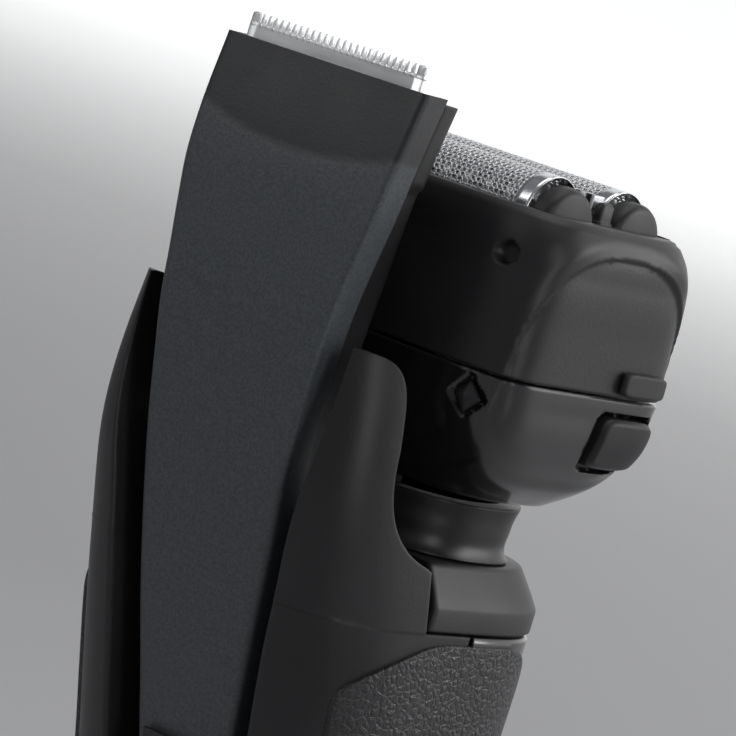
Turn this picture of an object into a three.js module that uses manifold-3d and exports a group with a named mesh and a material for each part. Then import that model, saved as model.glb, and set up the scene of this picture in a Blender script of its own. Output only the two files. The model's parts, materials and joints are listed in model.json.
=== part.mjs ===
// Foil shaver with a pop-up long-hair trimmer on its back, as an assembly of separate pieces.
// Millimetres. +Z runs up the handle, X is the width, -Y is the back, where the trimmer slides.
// The origin is the centre of the flat end that the shaver stands on.
import * as THREE from 'three';
import { mergeVertices } from 'three/addons/utils/BufferGeometryUtils.js';
import Module from 'manifold-3d';

const wasm = await Module();
wasm.setup();

// ---- Driving dimensions ----
const gap = 0.3; // between pieces that touch
const runGap = 0.6; // between pieces that move past each other
const wall = 2; // moulded housing wall
const weldTolerance = 0.002; // edges shorter than this are closed up after the cuts

const baseHeight = 7; // end cap
const handleHeight = 105; // table to the underside of the collar
const handleWidth = 49; // across the grips
const baseNarrowing = 4; // how much narrower each side of the base is
const collarHeight = 8.3;
const neckLength = 8.9; // open height between collar and head
const earLength = 24.9; // guide ears above the collar

const headWidth = 62.4;
const headDepth = 38.5;
const headCentreY = -2.4;
const cradleHeight = 17; // lower half of the head
const frameHeight = 21; // upper half of the head
const foilRadius = 5.7;
const foilPitch = 15.2; // between the two foils' centre lines
const foilLength = 43;
const foilRise = 4.4; // foils above the frame
const foilSkin = 0.5;
const driveStroke = 1; // half of the blades' travel

const trimmerAboveFoils = 5.6; // raised trimmer body above the foils
const trimmerLength = 100;
const trimmerTravel = 30;
const trimmerLean = 0.09; // forward drift of the slide for each millimetre down
const combHalfWidth = 15.3;
const toothCount = 25;
const toothHeight = 1.7;

const batteryRadius = 6.6;
const batteryLength = 50;
const powerButtonRadius = 7;
const releaseWidth = 11.5;
const releaseHeight = 7;

// ---- Levels up the shaver ----
const collarTop = handleHeight + collarHeight;
const headBottom = collarTop + neckLength;
const seamZ = headBottom + cradleHeight;
const frameTop = seamZ + frameHeight;
const foilTop = frameTop + foilRise;
const trimmerTop = foilTop + trimmerAboveFoils;
const earTip = collarTop + earLength;

// ---- General helpers ----
const xAxis = new THREE.Vector3(1, 0, 0);
const yAxis = new THREE.Vector3(0, 1, 0);
const zAxis = new THREE.Vector3(0, 0, 1);

function toSolid(geometry) {
  const bare = geometry.clone();
  bare.deleteAttribute('normal');
  bare.deleteAttribute('uv');
  const merged = mergeVertices(bare);
  return new wasm.Manifold(new wasm.Mesh({
    numProp: 3,
    vertProperties: new Float32Array(merged.attributes.position.array),
    triVerts: new Uint32Array(merged.index.array),
  }));
}

function toGeometry(solid) {
  const mesh = solid.simplify(weldTolerance).getMesh();
  const geometry = new THREE.BufferGeometry();
  geometry.setAttribute('position', new THREE.BufferAttribute(new Float32Array(mesh.vertProperties), 3));
  geometry.setIndex(new THREE.BufferAttribute(new Uint32Array(mesh.triVerts), 1));
  geometry.computeVertexNormals();
  return geometry;
}

// A box from two opposite corners.
function block([x0, x1], [y0, y1], [z0, z1]) {
  const geometry = new THREE.BoxGeometry(x1 - x0, y1 - y0, z1 - z0);
  geometry.translate((x0 + x1) / 2, (y0 + y1) / 2, (z0 + z1) / 2);
  return toSolid(geometry);
}

// An outline extruded along X (drawn in y, z), along Y (drawn in x, z) or along Z (drawn in x, y).
function slab(points, axis, from, to) {
  const shape = points instanceof THREE.Shape ? points : new THREE.Shape(points);
  const geometry = new THREE.ExtrudeGeometry(shape, { depth: to - from, bevelEnabled: false, curveSegments: 6 });
  const turn = new THREE.Matrix4();
  if (axis === 'x') turn.makeBasis(yAxis, zAxis, xAxis).setPosition(from, 0, 0);
  if (axis === 'y') turn.makeBasis(xAxis, zAxis, yAxis.clone().negate()).setPosition(0, to, 0);
  if (axis === 'z') turn.makeTranslation(0, 0, from);
  geometry.applyMatrix4(turn);
  return toSolid(geometry);
}

// A cylinder along an axis, between two positions on it.
function rod(axis, radius, from, to, [u, v], sides = 20) {
  const geometry = new THREE.CylinderGeometry(radius, radius, to - from, sides);
  const middle = (from + to) / 2;
  if (axis === 'x') geometry.rotateZ(-Math.PI / 2).translate(middle, u, v);
  if (axis === 'y') geometry.translate(u, middle, v);
  if (axis === 'z') geometry.rotateX(Math.PI / 2).translate(u, v, middle);
  return toSolid(geometry);
}

const point = (u, v) => new THREE.Vector2(u, v);

function roundedRectangle(u0, u1, v0, v1, radius) {
  const shape = new THREE.Shape();
  shape.absarc(u1 - radius, v1 - radius, radius, 0, Math.PI / 2);
  shape.absarc(u0 + radius, v1 - radius, radius, Math.PI / 2, Math.PI);
  shape.absarc(u0 + radius, v0 + radius, radius, Math.PI, Math.PI * 1.5);
  shape.absarc(u1 - radius, v0 + radius, radius, Math.PI * 1.5, Math.PI * 2);
  return shape;
}

// A smooth curve through stations of [position, value, value, ...].
function throughStations(stations) {
  const size = stations[0].length - 1;
  const curve = new THREE.CubicInterpolant(
    stations.map((station) => station[0]),
    stations.flatMap((station) => station.slice(1)),
    size,
    new Array(size).fill(0),
  );
  const [first] = stations[0];
  const [last] = stations[stations.length - 1];
  return (position) => Array.from(curve.evaluate(THREE.MathUtils.clamp(position, first, last - 1e-6)));
}

function steps(from, to, count) {
  return Array.from({ length: count + 1 }, (_, i) => from + ((to - from) * i) / count);
}

// A sine or cosine bent towards the outline of a rounded square, and exactly 0 where it crosses 0.
function squared(value, power) {
  return Math.abs(value) < 1e-9 ? 0 : Math.sign(value) * Math.abs(value) ** (2 / power);
}

// Rounded-square rings stacked up Z and closed at both ends.
// Each ring is { z, halfWidth, back, front, power }: the higher the power, the squarer the ring.
function loft(rings, sides = 32) {
  const positions = [];
  const index = [];
  for (const { z, halfWidth, back, front, power } of rings) {
    for (let i = 0; i < sides; i += 1) {
      const angle = (i / sides) * Math.PI * 2;
      const across = squared(Math.cos(angle), power);
      const along = squared(Math.sin(angle), power);
      positions.push(halfWidth * across, (back + front) / 2 + ((front - back) / 2) * along, z);
    }
  }
  const bottom = positions.length / 3;
  const top = bottom + 1;
  const last = rings[rings.length - 1];
  positions.push(0, (rings[0].back + rings[0].front) / 2, rings[0].z);
  positions.push(0, (last.back + last.front) / 2, last.z);
  for (let i = 0; i < sides; i += 1) {
    const next = (i + 1) % sides;
    for (let ring = 0; ring < rings.length - 1; ring += 1) {
      const low = ring * sides;
      const high = low + sides;
      index.push(low + i, low + next, high + next, low + i, high + next, high + i);
    }
    const lastRing = (rings.length - 1) * sides;
    index.push(bottom, next, i, top, lastRing + i, lastRing + next);
  }
  const geometry = new THREE.BufferGeometry();
  geometry.setAttribute('position', new THREE.Float32BufferAttribute(positions, 3));
  geometry.setIndex(index);
  return toSolid(geometry);
}

const mirrored = (solid) => solid.mirror([1, 0, 0]);

// Keeps the right half of a solid and mirrors it, so that both sides match exactly.
function symmetric(solid) {
  const right = solid.intersect(block([0, 100], [-100, 100], [-10, 300]));
  return right.add(mirrored(right));
}

// ---- Finishes ----
const satinBlack = { color: 0x1d1e20, roughness: 0.5, metalness: 0 };
const glossBlack = { color: 0x111214, roughness: 0.16, metalness: 0 };
const texturedGrey = { color: 0x3b3e42, roughness: 0.55, metalness: 0.1 };
const gripRubber = { color: 0x18191b, roughness: 0.6, metalness: 0 };
const steel = { color: 0xc9ccd0, roughness: 0.25, metalness: 1 };
const innerPlastic = { color: 0x55595e, roughness: 0.6, metalness: 0 };
const circuitGreen = { color: 0x1f5b35, roughness: 0.5, metalness: 0 };
const batteryWrap = { color: 0x2c6fa8, roughness: 0.4, metalness: 0 };
const lensSmoke = { color: 0x0a0c10, roughness: 0.08, metalness: 0 };
const brass = { color: 0xc8a24a, roughness: 0.3, metalness: 1 };
const sealRubber = { color: 0x202124, roughness: 0.75, metalness: 0 };

function addPiece(group, name, solid, finish) {
  const material = new THREE.MeshStandardMaterial(finish);
  const mesh = new THREE.Mesh(toGeometry(solid), material);
  mesh.name = name;
  group.add(mesh);
  return mesh;
}

// ---- The trimmer's outline and curve, which the handle's channel follows ----
// [distance below the top, half width, inset of the face from its fullest point, thickness]
const trimmerShape = throughStations([
  [0, 16.75, 2.3, 9.2],
  [10, 16.4, 0.7, 9.2],
  [16, 16, 0.15, 9.6],
  [22, 15.1, 0, 10.4],
  [28, 14.2, 0.05, 11],
  [34, 13.6, 0.35, 11],
  [41, 12.8, 1.3, 11],
  [49, 12.1, 2.8, 11],
  [60, 11.2, 5.6, 11],
  [72, 9.9, 8.8, 10.6],
  [85, 8.4, 12.7, 9.4],
  [100, 7, 16.9, 8],
  [115, 7, 19.5, 8],
  [135, 7, 22.4, 8],
  [trimmerTop, 7, 26.6, 8],
]);
const faceBulgeY = headCentreY - headDepth / 2 - 16.4; // fullest point of the trimmer's face
const tailRadius = 7;
const halfWidthAt = (z) => trimmerShape(trimmerTop - z)[0];
const faceY = (z) => faceBulgeY + trimmerShape(trimmerTop - z)[1];
const thicknessAt = (z) => trimmerShape(trimmerTop - z)[2];

const slideLength = Math.hypot(1, trimmerLean);
const travelDown = trimmerTravel / slideLength;
const travelForward = travelDown * trimmerLean;
const tailZ = trimmerTop - trimmerLength;

// The trimmer's plan in x, z, grown outwards and lowered; it can run on past its top.
function trimmerPlan(grow, lowered, runOn = 0) {
  const shape = new THREE.Shape();
  const sideSteps = steps(0, trimmerLength - tailRadius, 14);
  const topEdge = trimmerTop - lowered + grow;
  shape.moveTo(-halfWidthAt(trimmerTop) - grow, topEdge + runOn);
  for (const drop of sideSteps) {
    shape.lineTo(-halfWidthAt(trimmerTop - drop) - grow, trimmerTop - drop - lowered + (drop ? 0 : grow));
  }
  shape.absarc(0, tailZ + tailRadius - lowered, tailRadius + grow, Math.PI, Math.PI * 2);
  for (const drop of sideSteps.reverse()) {
    shape.lineTo(halfWidthAt(trimmerTop - drop) + grow, trimmerTop - drop - lowered + (drop ? 0 : grow));
  }
  shape.lineTo(halfWidthAt(trimmerTop) + grow, topEdge + runOn);
  return shape;
}

// Everything between two curves y(z), across the whole width.
function curvedBand(outer, inner, z0, z1, halfWidth = 40, count = 14) {
  const levels = steps(z0, z1, count);
  const outerEdge = levels.map((z) => point(outer(z), z));
  const innerEdge = levels.map((z) => point(inner(z), z)).reverse();
  return slab([...outerEdge, ...innerEdge].reverse(), 'x', -halfWidth, halfWidth);
}

// A layer of the trimmer, from one depth behind its face to another.
function trimmerLayer(plan, from, to, z0 = tailZ - 1, z1 = trimmerTop + 1) {
  const layer = curvedBand((z) => faceY(z) + from(z), (z) => faceY(z) + to(z), z0, z1);
  return slab(plan, 'y', faceBulgeY - 10, headCentreY).intersect(layer);
}

// The deepest place that the sliding trimmer reaches at a level, with a running gap behind it.
function channelFloor(z) {
  const reach = steps(0, 1, 10).map((share) => {
    const origin = Math.max(z + travelDown * share, tailZ);
    return faceY(origin) + thicknessAt(origin) + travelForward * share;
  });
  return Math.max(...reach) + runGap;
}

// ---- Handle ----
const rimRise = 2.5; // channel rims proud of the trimmer's face
const handleFront = headCentreY + headDepth / 2 + 1.8;

function rimY(z) {
  const fade = THREE.MathUtils.smoothstep(z, collarTop, earTip);
  return faceY(z) - rimRise * (1 - fade);
}

function handleRings(outset, z0, z1, count) {
  const shape = throughStations([
    [0, baseNarrowing, 2.6, 3],
    [handleHeight * 0.4, 2.9, 1.2, 3],
    [handleHeight * 0.6, 1.6, 0.4, 3.2],
    [handleHeight * 0.85, 0.2, 0, 3.6],
    [handleHeight, 0, 0.4, 4],
    [collarTop, 0.2, 0.8, 4.4],
    [earTip - 8, 1.4, 1.5, 5],
    [earTip + 1, 2.8, 2, 5],
  ]);
  return steps(z0, z1, count).map((z) => {
    const [narrowing, frontInset, power] = shape(z);
    return {
      z,
      halfWidth: handleWidth / 2 - narrowing + outset,
      back: rimY(z) - outset,
      front: handleFront - frontInset + outset,
      power,
    };
  });
}

const splitY = -3.2; // seam between the two housings, under the grips
const shoulderY = -13.4; // where the ears' root meets the collar
const earFrontY = headCentreY - headDepth / 2 - 6.2; // front edge of an ear beside the trimmer

// Side view of the handle: the grip part, and the ears standing behind the head.
function handleSide() {
  const shape = new THREE.Shape();
  shape.moveTo(faceBulgeY - 8, baseHeight + gap);
  shape.lineTo(handleFront + 8, baseHeight + gap);
  shape.lineTo(handleFront + 8, handleHeight);
  shape.lineTo(shoulderY, handleHeight);
  shape.lineTo(shoulderY - 2.5, collarTop - 0.4);
  shape.bezierCurveTo(
    earFrontY + 3.2, collarTop + 1.5,
    earFrontY, collarTop + 6,
    earFrontY, collarTop + 14,
  );
  shape.lineTo(earFrontY - 0.5, earTip - 6);
  shape.bezierCurveTo(
    earFrontY - 1, earTip - 1.5,
    earFrontY - 3, earTip,
    faceBulgeY + 3.2, earTip,
  );
  shape.bezierCurveTo(
    faceBulgeY + 1, earTip,
    faceBulgeY - 1, earTip - 1,
    faceBulgeY - 8, earTip - 4,
  );
  return slab(shape, 'x', -handleWidth, handleWidth);
}

const channelGap = 0.5;

function channel(grow) {
  const plan = slab(
    trimmerPlan(channelGap + grow, travelDown, trimmerTravel + 10),
    'y', faceBulgeY - 30, shoulderY + 12,
  );
  const depth = curvedBand(
    (z) => faceY(z) - 25,
    (z) => channelFloor(z) + grow,
    tailZ - travelDown - 6, trimmerTop + 20,
  );
  return plan.intersect(depth);
}

// The grips' outline on the handle's side, following its back and front edges.
const gripBackInset = 5.2;
const gripFrontInset = 5;
const gripThickness = 1.4;
const gripProud = 0.5;

function gripSide(grow) {
  const low = 27;
  const high = handleHeight - 1.4;
  const levels = steps(0, 1, 7);
  const shape = new THREE.Shape();
  const cornerDrop = 8;
  const back = (z) => rimY(z) + gripBackInset - grow;
  const front = (z) => handleFront - gripFrontInset + grow;
  shape.moveTo(front(low) - cornerDrop, low - grow);
  shape.quadraticCurveTo(front(low), low - grow, front(low), low + cornerDrop);
  shape.lineTo(front(high), high + grow);
  shape.lineTo(back(high) + cornerDrop + 4, high + grow);
  shape.quadraticCurveTo(back(high) + 1, high + grow, back(high - cornerDrop), high - cornerDrop);
  for (const share of levels) {
    const z = THREE.MathUtils.lerp(high - cornerDrop, low + cornerDrop, share);
    shape.lineTo(back(z), z);
  }
  shape.quadraticCurveTo(back(low + 4), low - grow, back(low) + cornerDrop, low - grow);
  return shape;
}

const gripInnerX = handleWidth * 0.27;

function gripRegion(grow) {
  return slab(gripSide(grow), 'x', gripInnerX - grow, handleWidth);
}

function handlePieces(group) {
  const top = earTip + 1;
  const outer = loft(handleRings(0, baseHeight + gap - 1, top, 13));
  const cavity = loft(handleRings(-wall, baseHeight - 2, handleHeight - wall, 6), 20);
  const [gripLow, gripHigh] = [baseHeight, handleHeight + 2];
  const recess = loft(handleRings(4, gripLow, gripHigh, 8))
    .subtract(loft(handleRings(-gripThickness, gripLow, gripHigh, 8)));
  const solid = outer
    .intersect(handleSide())
    .subtract(cavity.subtract(channel(wall)))
    .subtract(channel(0))
    .subtract(recess.intersect(gripRegion(gap)));
  const collarSeat = block(
    [-handleWidth, handleWidth],
    [shoulderY - gap, handleFront + 9],
    [handleHeight - gap, top],
  );
  const neckWell = block([-neckHalfX, neckHalfX], [shoulderY, handleFront - 5], [handleHeight - wall - 1, top]);
  const open = symmetric(solid.subtract(collarSeat).subtract(neckWell));

  const runnerSlot = block(
    [-runnerHalfWidth - runGap, runnerHalfWidth + runGap],
    [faceBulgeY, splitY + 20],
    [runnerBottom - travelDown - runGap, runnerBottom + runnerHeight + runGap],
  );
  const rearHalf = block([-60, 60], [-80, splitY - gap / 2], [-5, 200]);
  const frontHalf = block([-60, 60], [splitY + gap / 2, 80], [-5, 200]);
  addPiece(group, 'rear_housing', open.intersect(rearHalf).subtract(runnerSlot), satinBlack);

  const buttonBore = rod('y', powerButtonRadius + 1.6 + gap, 0, 60, [0, powerButtonZ], 28);
  const windowCut = slab(displayOutline(gap), 'y', 0, 60);
  addPiece(group, 'front_housing', open.intersect(frontHalf).subtract(buttonBore).subtract(windowCut), glossBlack);

  const grip = loft(handleRings(gripProud, gripLow, gripHigh, 8))
    .subtract(loft(handleRings(-gripThickness + gap, gripLow, gripHigh, 8)))
    .intersect(gripRegion(0));
  addPiece(group, 'right_grip', grip, gripRubber);
  addPiece(group, 'left_grip', mirrored(grip), gripRubber);
}

// ---- Collar and neck ----
const neckHalfX = 21;
const neckHalfY = 15.2;
const collarInset = 3;

function collarAndNeck(group) {
  const [lower] = handleRings(0, handleHeight, handleHeight, 1);
  const bandTop = handleHeight + collarHeight * 0.4;
  const rings = [
    { ...lower, z: handleHeight },
    { ...lower, z: bandTop },
    {
      ...lower,
      z: collarTop,
      halfWidth: lower.halfWidth - collarInset,
      back: lower.back,
      front: lower.front - collarInset,
    },
  ];
  const keep = block([-60, 60], [shoulderY, 60], [0, 200]);
  const neckBore = rod('z', 1, handleHeight - 5, collarTop + 5, [0, 0], 32)
    .scale([neckHalfX - 3, neckHalfY - 3, 1])
    .translate([0, headCentreY + 1.5, 0]);
  addPiece(group, 'collar', loft(rings).intersect(keep).subtract(neckBore), satinBlack);

  const boot = (z, grow) => ({
    z,
    halfWidth: neckHalfX + grow,
    back: headCentreY + 1.5 - neckHalfY - grow,
    front: headCentreY + 1.5 + neckHalfY + grow,
    power: 2.6,
  });
  const bootBottom = collarTop + gap;
  const bootTop = headBottom - 1.3;
  const bootSkin = loft([
    boot(bootBottom, -0.4), boot(bootBottom + 2, -1), boot((bootBottom + bootTop) / 2, -1.1), boot(bootTop, -0.8),
  ]);
  const bootInside = loft([boot(bootBottom - 1, -3.4), boot(bootTop + 1, -3.4)]);
  addPiece(group, 'neck_boot', bootSkin.subtract(bootInside), sealRubber);

  const postBottom = handleHeight - 8;
  const post = rod('z', neckPostRadius, postBottom, pivotZ, [0, headCentreY], 24)
    .add(rod('x', neckPostRadius, -6, 6, [headCentreY, pivotZ], 24))
    .add(block([-12, 12], [headCentreY - 6, headCentreY + 6], [postBottom - 2, postBottom + 2]));
  const pinBore = rod('x', pivotPinRadius + 0.05, -20, 20, [headCentreY, pivotZ]);
  addPiece(group, 'neck_post', post.subtract(pinBore), innerPlastic);
}

const pivotZ = headBottom + 5.5;
const neckPostRadius = 4.5;
const pivotPinRadius = 1.5;

// ---- End cap, inlet and fasteners ----
const inletY = handleFront - 9.65;
const inletHalfWidth = 4.6;
const inletHalfDepth = 3;
const inletDepth = 9;
const screwX = 13;
const screwRadius = 1.3;
const screwHeadRadius = 2.6;
const screwLength = 10; // into its boss above the end cap

function basePieces(group) {
  const [foot, , rim] = handleRings(0, 0, baseHeight, 2);
  const edge = 1.6;
  const cap = loft([
    { ...foot, z: 0, halfWidth: foot.halfWidth - edge, back: foot.back + edge, front: foot.front - edge },
    { ...foot, z: edge },
    { ...rim, z: baseHeight },
  ]);
  const inletHole = block(
    [-inletHalfWidth, inletHalfWidth],
    [inletY - inletHalfDepth, inletY + inletHalfDepth],
    [-1, baseHeight + 1],
  );
  let drilled = cap.subtract(inletHole);
  for (const side of [-1, 1]) {
    drilled = drilled
      .subtract(rod('z', screwRadius + gap, -1, baseHeight + 1, [side * screwX, 0]))
      .subtract(rod('z', screwHeadRadius + gap, -1, 3, [side * screwX, 0]));
    const screw = rod('z', screwHeadRadius, 0.8, 2.7, [side * screwX, 0])
      .add(rod('z', screwRadius, 2, baseHeight + screwLength - 1, [side * screwX, 0], 14));
    addPiece(group, side < 0 ? 'base_screw_left' : 'base_screw_right', screw, steel);
  }
  addPiece(group, 'base_cap', drilled, satinBlack);

  const socketTop = baseHeight + inletDepth;
  const socket = block(
    [-inletHalfWidth - 1.5, inletHalfWidth + 1.5],
    [inletY - inletHalfDepth - 1.5, inletY + inletHalfDepth + 1.5],
    [baseHeight + gap, socketTop + 1.5],
  ).subtract(block(
    [-inletHalfWidth, inletHalfWidth],
    [inletY - inletHalfDepth, inletY + inletHalfDepth],
    [0, socketTop],
  ));
  const pinHoles = [-1, 1].map((side) => rod('z', 0.8 + gap, socketTop - 1, socketTop + 4, [side * 2.2, inletY], 12));
  addPiece(group, 'charging_socket', socket.subtract(pinHoles[0]).subtract(pinHoles[1]), innerPlastic);
  for (const side of [-1, 1]) {
    const pin = rod('z', 0.8, baseHeight + 1, socketTop + 3, [side * 2.2, inletY], 12);
    addPiece(group, side < 0 ? 'socket_pin_left' : 'socket_pin_right', pin, brass);
  }
}

// ---- Power, inside and on the front ----
const powerButtonZ = handleHeight * 0.76;
const displayZ = handleHeight * 0.5;
const displayHalfWidth = 5;
const displayHalfHeight = 9;
const batteryY = handleFront - wall - 2.6 - batteryRadius;
const batteryBottom = baseHeight + inletDepth + 6;
const boardY = batteryY - batteryRadius - 2.4;

function displayOutline(grow) {
  return roundedRectangle(
    -displayHalfWidth - grow, displayHalfWidth + grow,
    displayZ - displayHalfHeight - grow, displayZ + displayHalfHeight + grow,
    3,
  );
}

// A cut-out disc or plate that follows the front of the handle.
function frontSkin(plan, depthFrom, depthTo) {
  const outerSkin = loft(handleRings(-depthFrom, baseHeight, handleHeight, 8));
  const innerSkin = loft(handleRings(-depthTo, baseHeight - 1, handleHeight + 1, 8));
  return outerSkin.subtract(innerSkin).intersect(plan);
}

function powerPieces(group) {
  const ringPlan = rod('y', powerButtonRadius + 1.6, 2, 60, [0, powerButtonZ], 28)
    .subtract(rod('y', powerButtonRadius + gap, 0, 60, [0, powerButtonZ], 28));
  addPiece(group, 'button_ring', frontSkin(ringPlan, -0.5, wall), steel);
  const buttonPlan = rod('y', powerButtonRadius, 2, 60, [0, powerButtonZ], 28);
  addPiece(group, 'power_button', frontSkin(buttonPlan, -1.2, wall - 0.4), satinBlack);
  const lensPlan = slab(displayOutline(0), 'y', 2, 60);
  addPiece(group, 'display_window', frontSkin(lensPlan, 0, wall - 0.4), lensSmoke);

  const battery = rod('z', batteryRadius, 0, batteryLength, [0, 0], 24)
    .add(rod('z', 2.4, batteryLength - 0.5, batteryLength + 1.4, [0, 0], 16));
  addPiece(group, 'battery', battery, batteryWrap).position.set(0, batteryY, batteryBottom);

  const boardBottom = batteryBottom + 20;
  const boardTop = handleHeight - 14;
  const board = block([-10, 10], [boardY - 0.8, boardY + 0.8], [boardBottom, boardTop]);
  addPiece(group, 'circuit_board', board, circuitGreen);

  const trayTop = handleHeight - 11;
  let tray = block([-12, 12], [boardY - 0.8, batteryY + 2], [batteryBottom - 2, trayTop])
    .subtract(block([-10.5, 10.5], [boardY - 9, boardY + 1.2], [batteryBottom - 3, trayTop + 1]))
    .subtract(block(
      [-batteryRadius - gap, batteryRadius + gap],
      [boardY + 1.1, 40],
      [batteryBottom - 0.6, trayTop - 3],
    ));
  for (const side of [-1, 1]) {
    const screwBoss = rod('z', screwRadius + 1.6, baseHeight + gap, batteryBottom + 4, [side * screwX, 0], 16)
      .subtract(rod('z', screwRadius + 0.1, 0, baseHeight + screwLength, [side * screwX, 0], 16));
    tray = tray.add(screwBoss);
  }
  addPiece(group, 'chassis', tray, innerPlastic);
}

// ---- Head: lower cradle with the drive ----
const headRight = headWidth / 2;
const releaseY = headCentreY + 9;
const releaseProud = 0.8;
const releaseTopZ = seamZ - 2.4;

function headRing(z, widthInset, backInset, frontInset, power) {
  return {
    z,
    halfWidth: headWidth / 2 - widthInset,
    back: headCentreY - headDepth / 2 + backInset,
    front: headCentreY + headDepth / 2 - frontInset,
    power,
  };
}

function cradleRings(inset, top) {
  const up = (share) => headBottom + cradleHeight * share;
  return [
    headRing(headBottom + inset, 8.2 + inset, 7.2 + inset, 5.4 + inset, 3.2),
    headRing(up(0.18) + inset * 0.6, 4.4 + inset, 4.9 + inset, 3 + inset, 3.8),
    headRing(up(0.37), 2.1 + inset, 2.9 + inset, 1.5 + inset, 5),
    headRing(up(0.6), 0.6 + inset, 1.2 + inset, 0.9 + inset, 7),
    headRing(top, inset, inset, inset, 8),
  ];
}

const wedgeX = headRight * 0.79;
const wedgeZ = seamZ - 3.4;
const wedgeRadius = 2.2;
const wedgeRise = 1;
const wedgeFloorY = headCentreY - headDepth / 2 + 1.45; // bottom of the wedge's pocket

function cradlePieces(group) {
  const shell = loft(cradleRings(0, seamZ)).subtract(loft(cradleRings(wall, seamZ + 2), 20));
  const neckOpening = rod('z', neckPostRadius + 3, headBottom - 4, headBottom + 4, [0, headCentreY], 28);
  const lugs = [-1, 1].map((side) => block(
    [Math.min(side * 7, side * 11), Math.max(side * 7, side * 11)],
    [headCentreY - 4, headCentreY + 4],
    [headBottom + 1, pivotZ + 4],
  ));
  const pinBore = rod('x', pivotPinRadius + 0.05, -20, 20, [headCentreY, pivotZ]);
  let cradle = shell.subtract(neckOpening).add(lugs[0]).add(lugs[1]).subtract(pinBore);
  const buttonHole = slab(
    roundedRectangle(
      releaseY - releaseWidth / 2 - runGap, releaseY + releaseWidth / 2 + runGap,
      releaseTopZ - releaseHeight - runGap, releaseTopZ + runGap, 1.5,
    ), 'x', headRight - 8, headRight + 4,
  );
  const pocket = rod('y', wedgeRadius + 0.6, wedgeFloorY - 8, wedgeFloorY, [wedgeX, wedgeZ], 4);
  for (const cutter of [buttonHole, pocket]) {
    cradle = cradle.subtract(cutter).subtract(mirrored(cutter));
  }
  addPiece(group, 'head_cradle', cradle, glossBlack);
  addPiece(group, 'pivot_pin', rod('x', pivotPinRadius, -12, 12, [headCentreY, pivotZ]), steel);

  for (const side of [-1, 1]) {
    const name = side < 0 ? 'left' : 'right';
    const wedge = new THREE.ConeGeometry(wedgeRadius, wedgeRise, 4);
    wedge.rotateX(Math.PI);
    wedge.translate(side * wedgeX, wedgeFloorY - gap - wedgeRise / 2, wedgeZ);
    addPiece(group, `stop_wedge_${name}`, toSolid(wedge), satinBlack);

    const plate = slab(
      roundedRectangle(
        releaseY - releaseWidth / 2, releaseY + releaseWidth / 2,
        releaseTopZ - releaseHeight, releaseTopZ, 1.2,
      ), 'x', headRight - 5, headRight + 4,
    );
    const skin = loft(cradleRings(-releaseProud, seamZ + 1)).subtract(loft(cradleRings(wall - 0.4, seamZ + 3)));
    const button = plate.intersect(skin);
    addPiece(group, `release_button_${name}`, side > 0 ? button : mirrored(button), satinBlack);
    const springCentre = [releaseY, releaseTopZ - releaseHeight / 2];
    const spring = rod('x', 1.8, headRight - wall - 5.2, headRight - wall - 4.2, springCentre, 14);
    addPiece(group, `release_spring_${name}`, side > 0 ? spring : mirrored(spring), steel);
  }

  const deckZ = seamZ - 3;
  const motor = block([-15, 15], [headCentreY - 8, headCentreY + 8], [pivotZ + 4.6, deckZ - gap]);
  addPiece(group, 'linear_motor', motor.subtract(block(
    [-postHalfX - driveStroke - runGap, postHalfX + driveStroke + runGap],
    [headCentreY - 3 - runGap, headCentreY + 3 + runGap],
    [deckZ - 4, deckZ + 1],
  )), innerPlastic);
  const deckRing = headRing(deckZ, wall + 1.2, wall + 1.2, wall + 1.2, 6);
  const deck = loft([deckRing, { ...deckRing, z: deckZ + 1.6 }], 20).subtract(block(
    [-postHalfX - driveStroke - runGap, postHalfX + driveStroke + runGap],
    [headCentreY - 3 - runGap, headCentreY + 3 + runGap],
    [deckZ - 2, deckZ + 4],
  ));
  const clearOfButtons = block(
    [headRight - wall - 6.2, headRight + 5],
    [releaseY - releaseWidth / 2 - 1, releaseY + releaseWidth / 2 + 1],
    [deckZ - 5, deckZ + 5],
  );
  addPiece(group, 'drive_deck', deck.subtract(clearOfButtons).subtract(mirrored(clearOfButtons)), innerPlastic);

  const bridgeZ = seamZ + 3;
  const oscillator = block([-postHalfX, postHalfX], [headCentreY - 3, headCentreY + 3], [deckZ - 3, bridgeZ + 1])
    .add(block([-6, 6], [headCentreY - foilPitch / 2 - 2, headCentreY + foilPitch / 2 + 2], [bridgeZ, bridgeZ + 2]));
  addPiece(group, 'drive_bridge', oscillator, innerPlastic);
  for (const [name, side] of [['rear', -1], ['front', 1]]) {
    addPiece(group, `${name}_inner_blade`, innerBlade(bridgeZ + 2 + foilTravel + gap), steel)
      .position.set(0, headCentreY + (side * foilPitch) / 2, 0);
  }
}

const postHalfX = 3;

// An inner blade: a row of half-round lamellae on a spine.
const lamellaCount = 11;

function innerBlade(bottom) {
  const radius = foilRadius - foilSkin - 0.35;
  const centreZ = foilTop - foilRadius;
  const half = foilLength / 2 - 2.5;
  const arch = new THREE.Shape();
  arch.moveTo(-radius, centreZ - 2);
  arch.lineTo(radius, centreZ - 2);
  arch.absarc(0, centreZ, radius, 0, Math.PI);
  let blade = block([-half, half], [-1.4, 1.4], [centreZ - 5, centreZ + 2])
    .add(block([-2.5, 2.5], [-1.4, 1.4], [bottom, centreZ - 4]));
  const pitch = (2 * half) / lamellaCount;
  for (let i = 0; i < lamellaCount; i += 1) {
    const left = -half + pitch * (i + 0.3);
    blade = blade.add(slab(arch, 'x', left, left + pitch * 0.4));
  }
  return blade;
}

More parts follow.
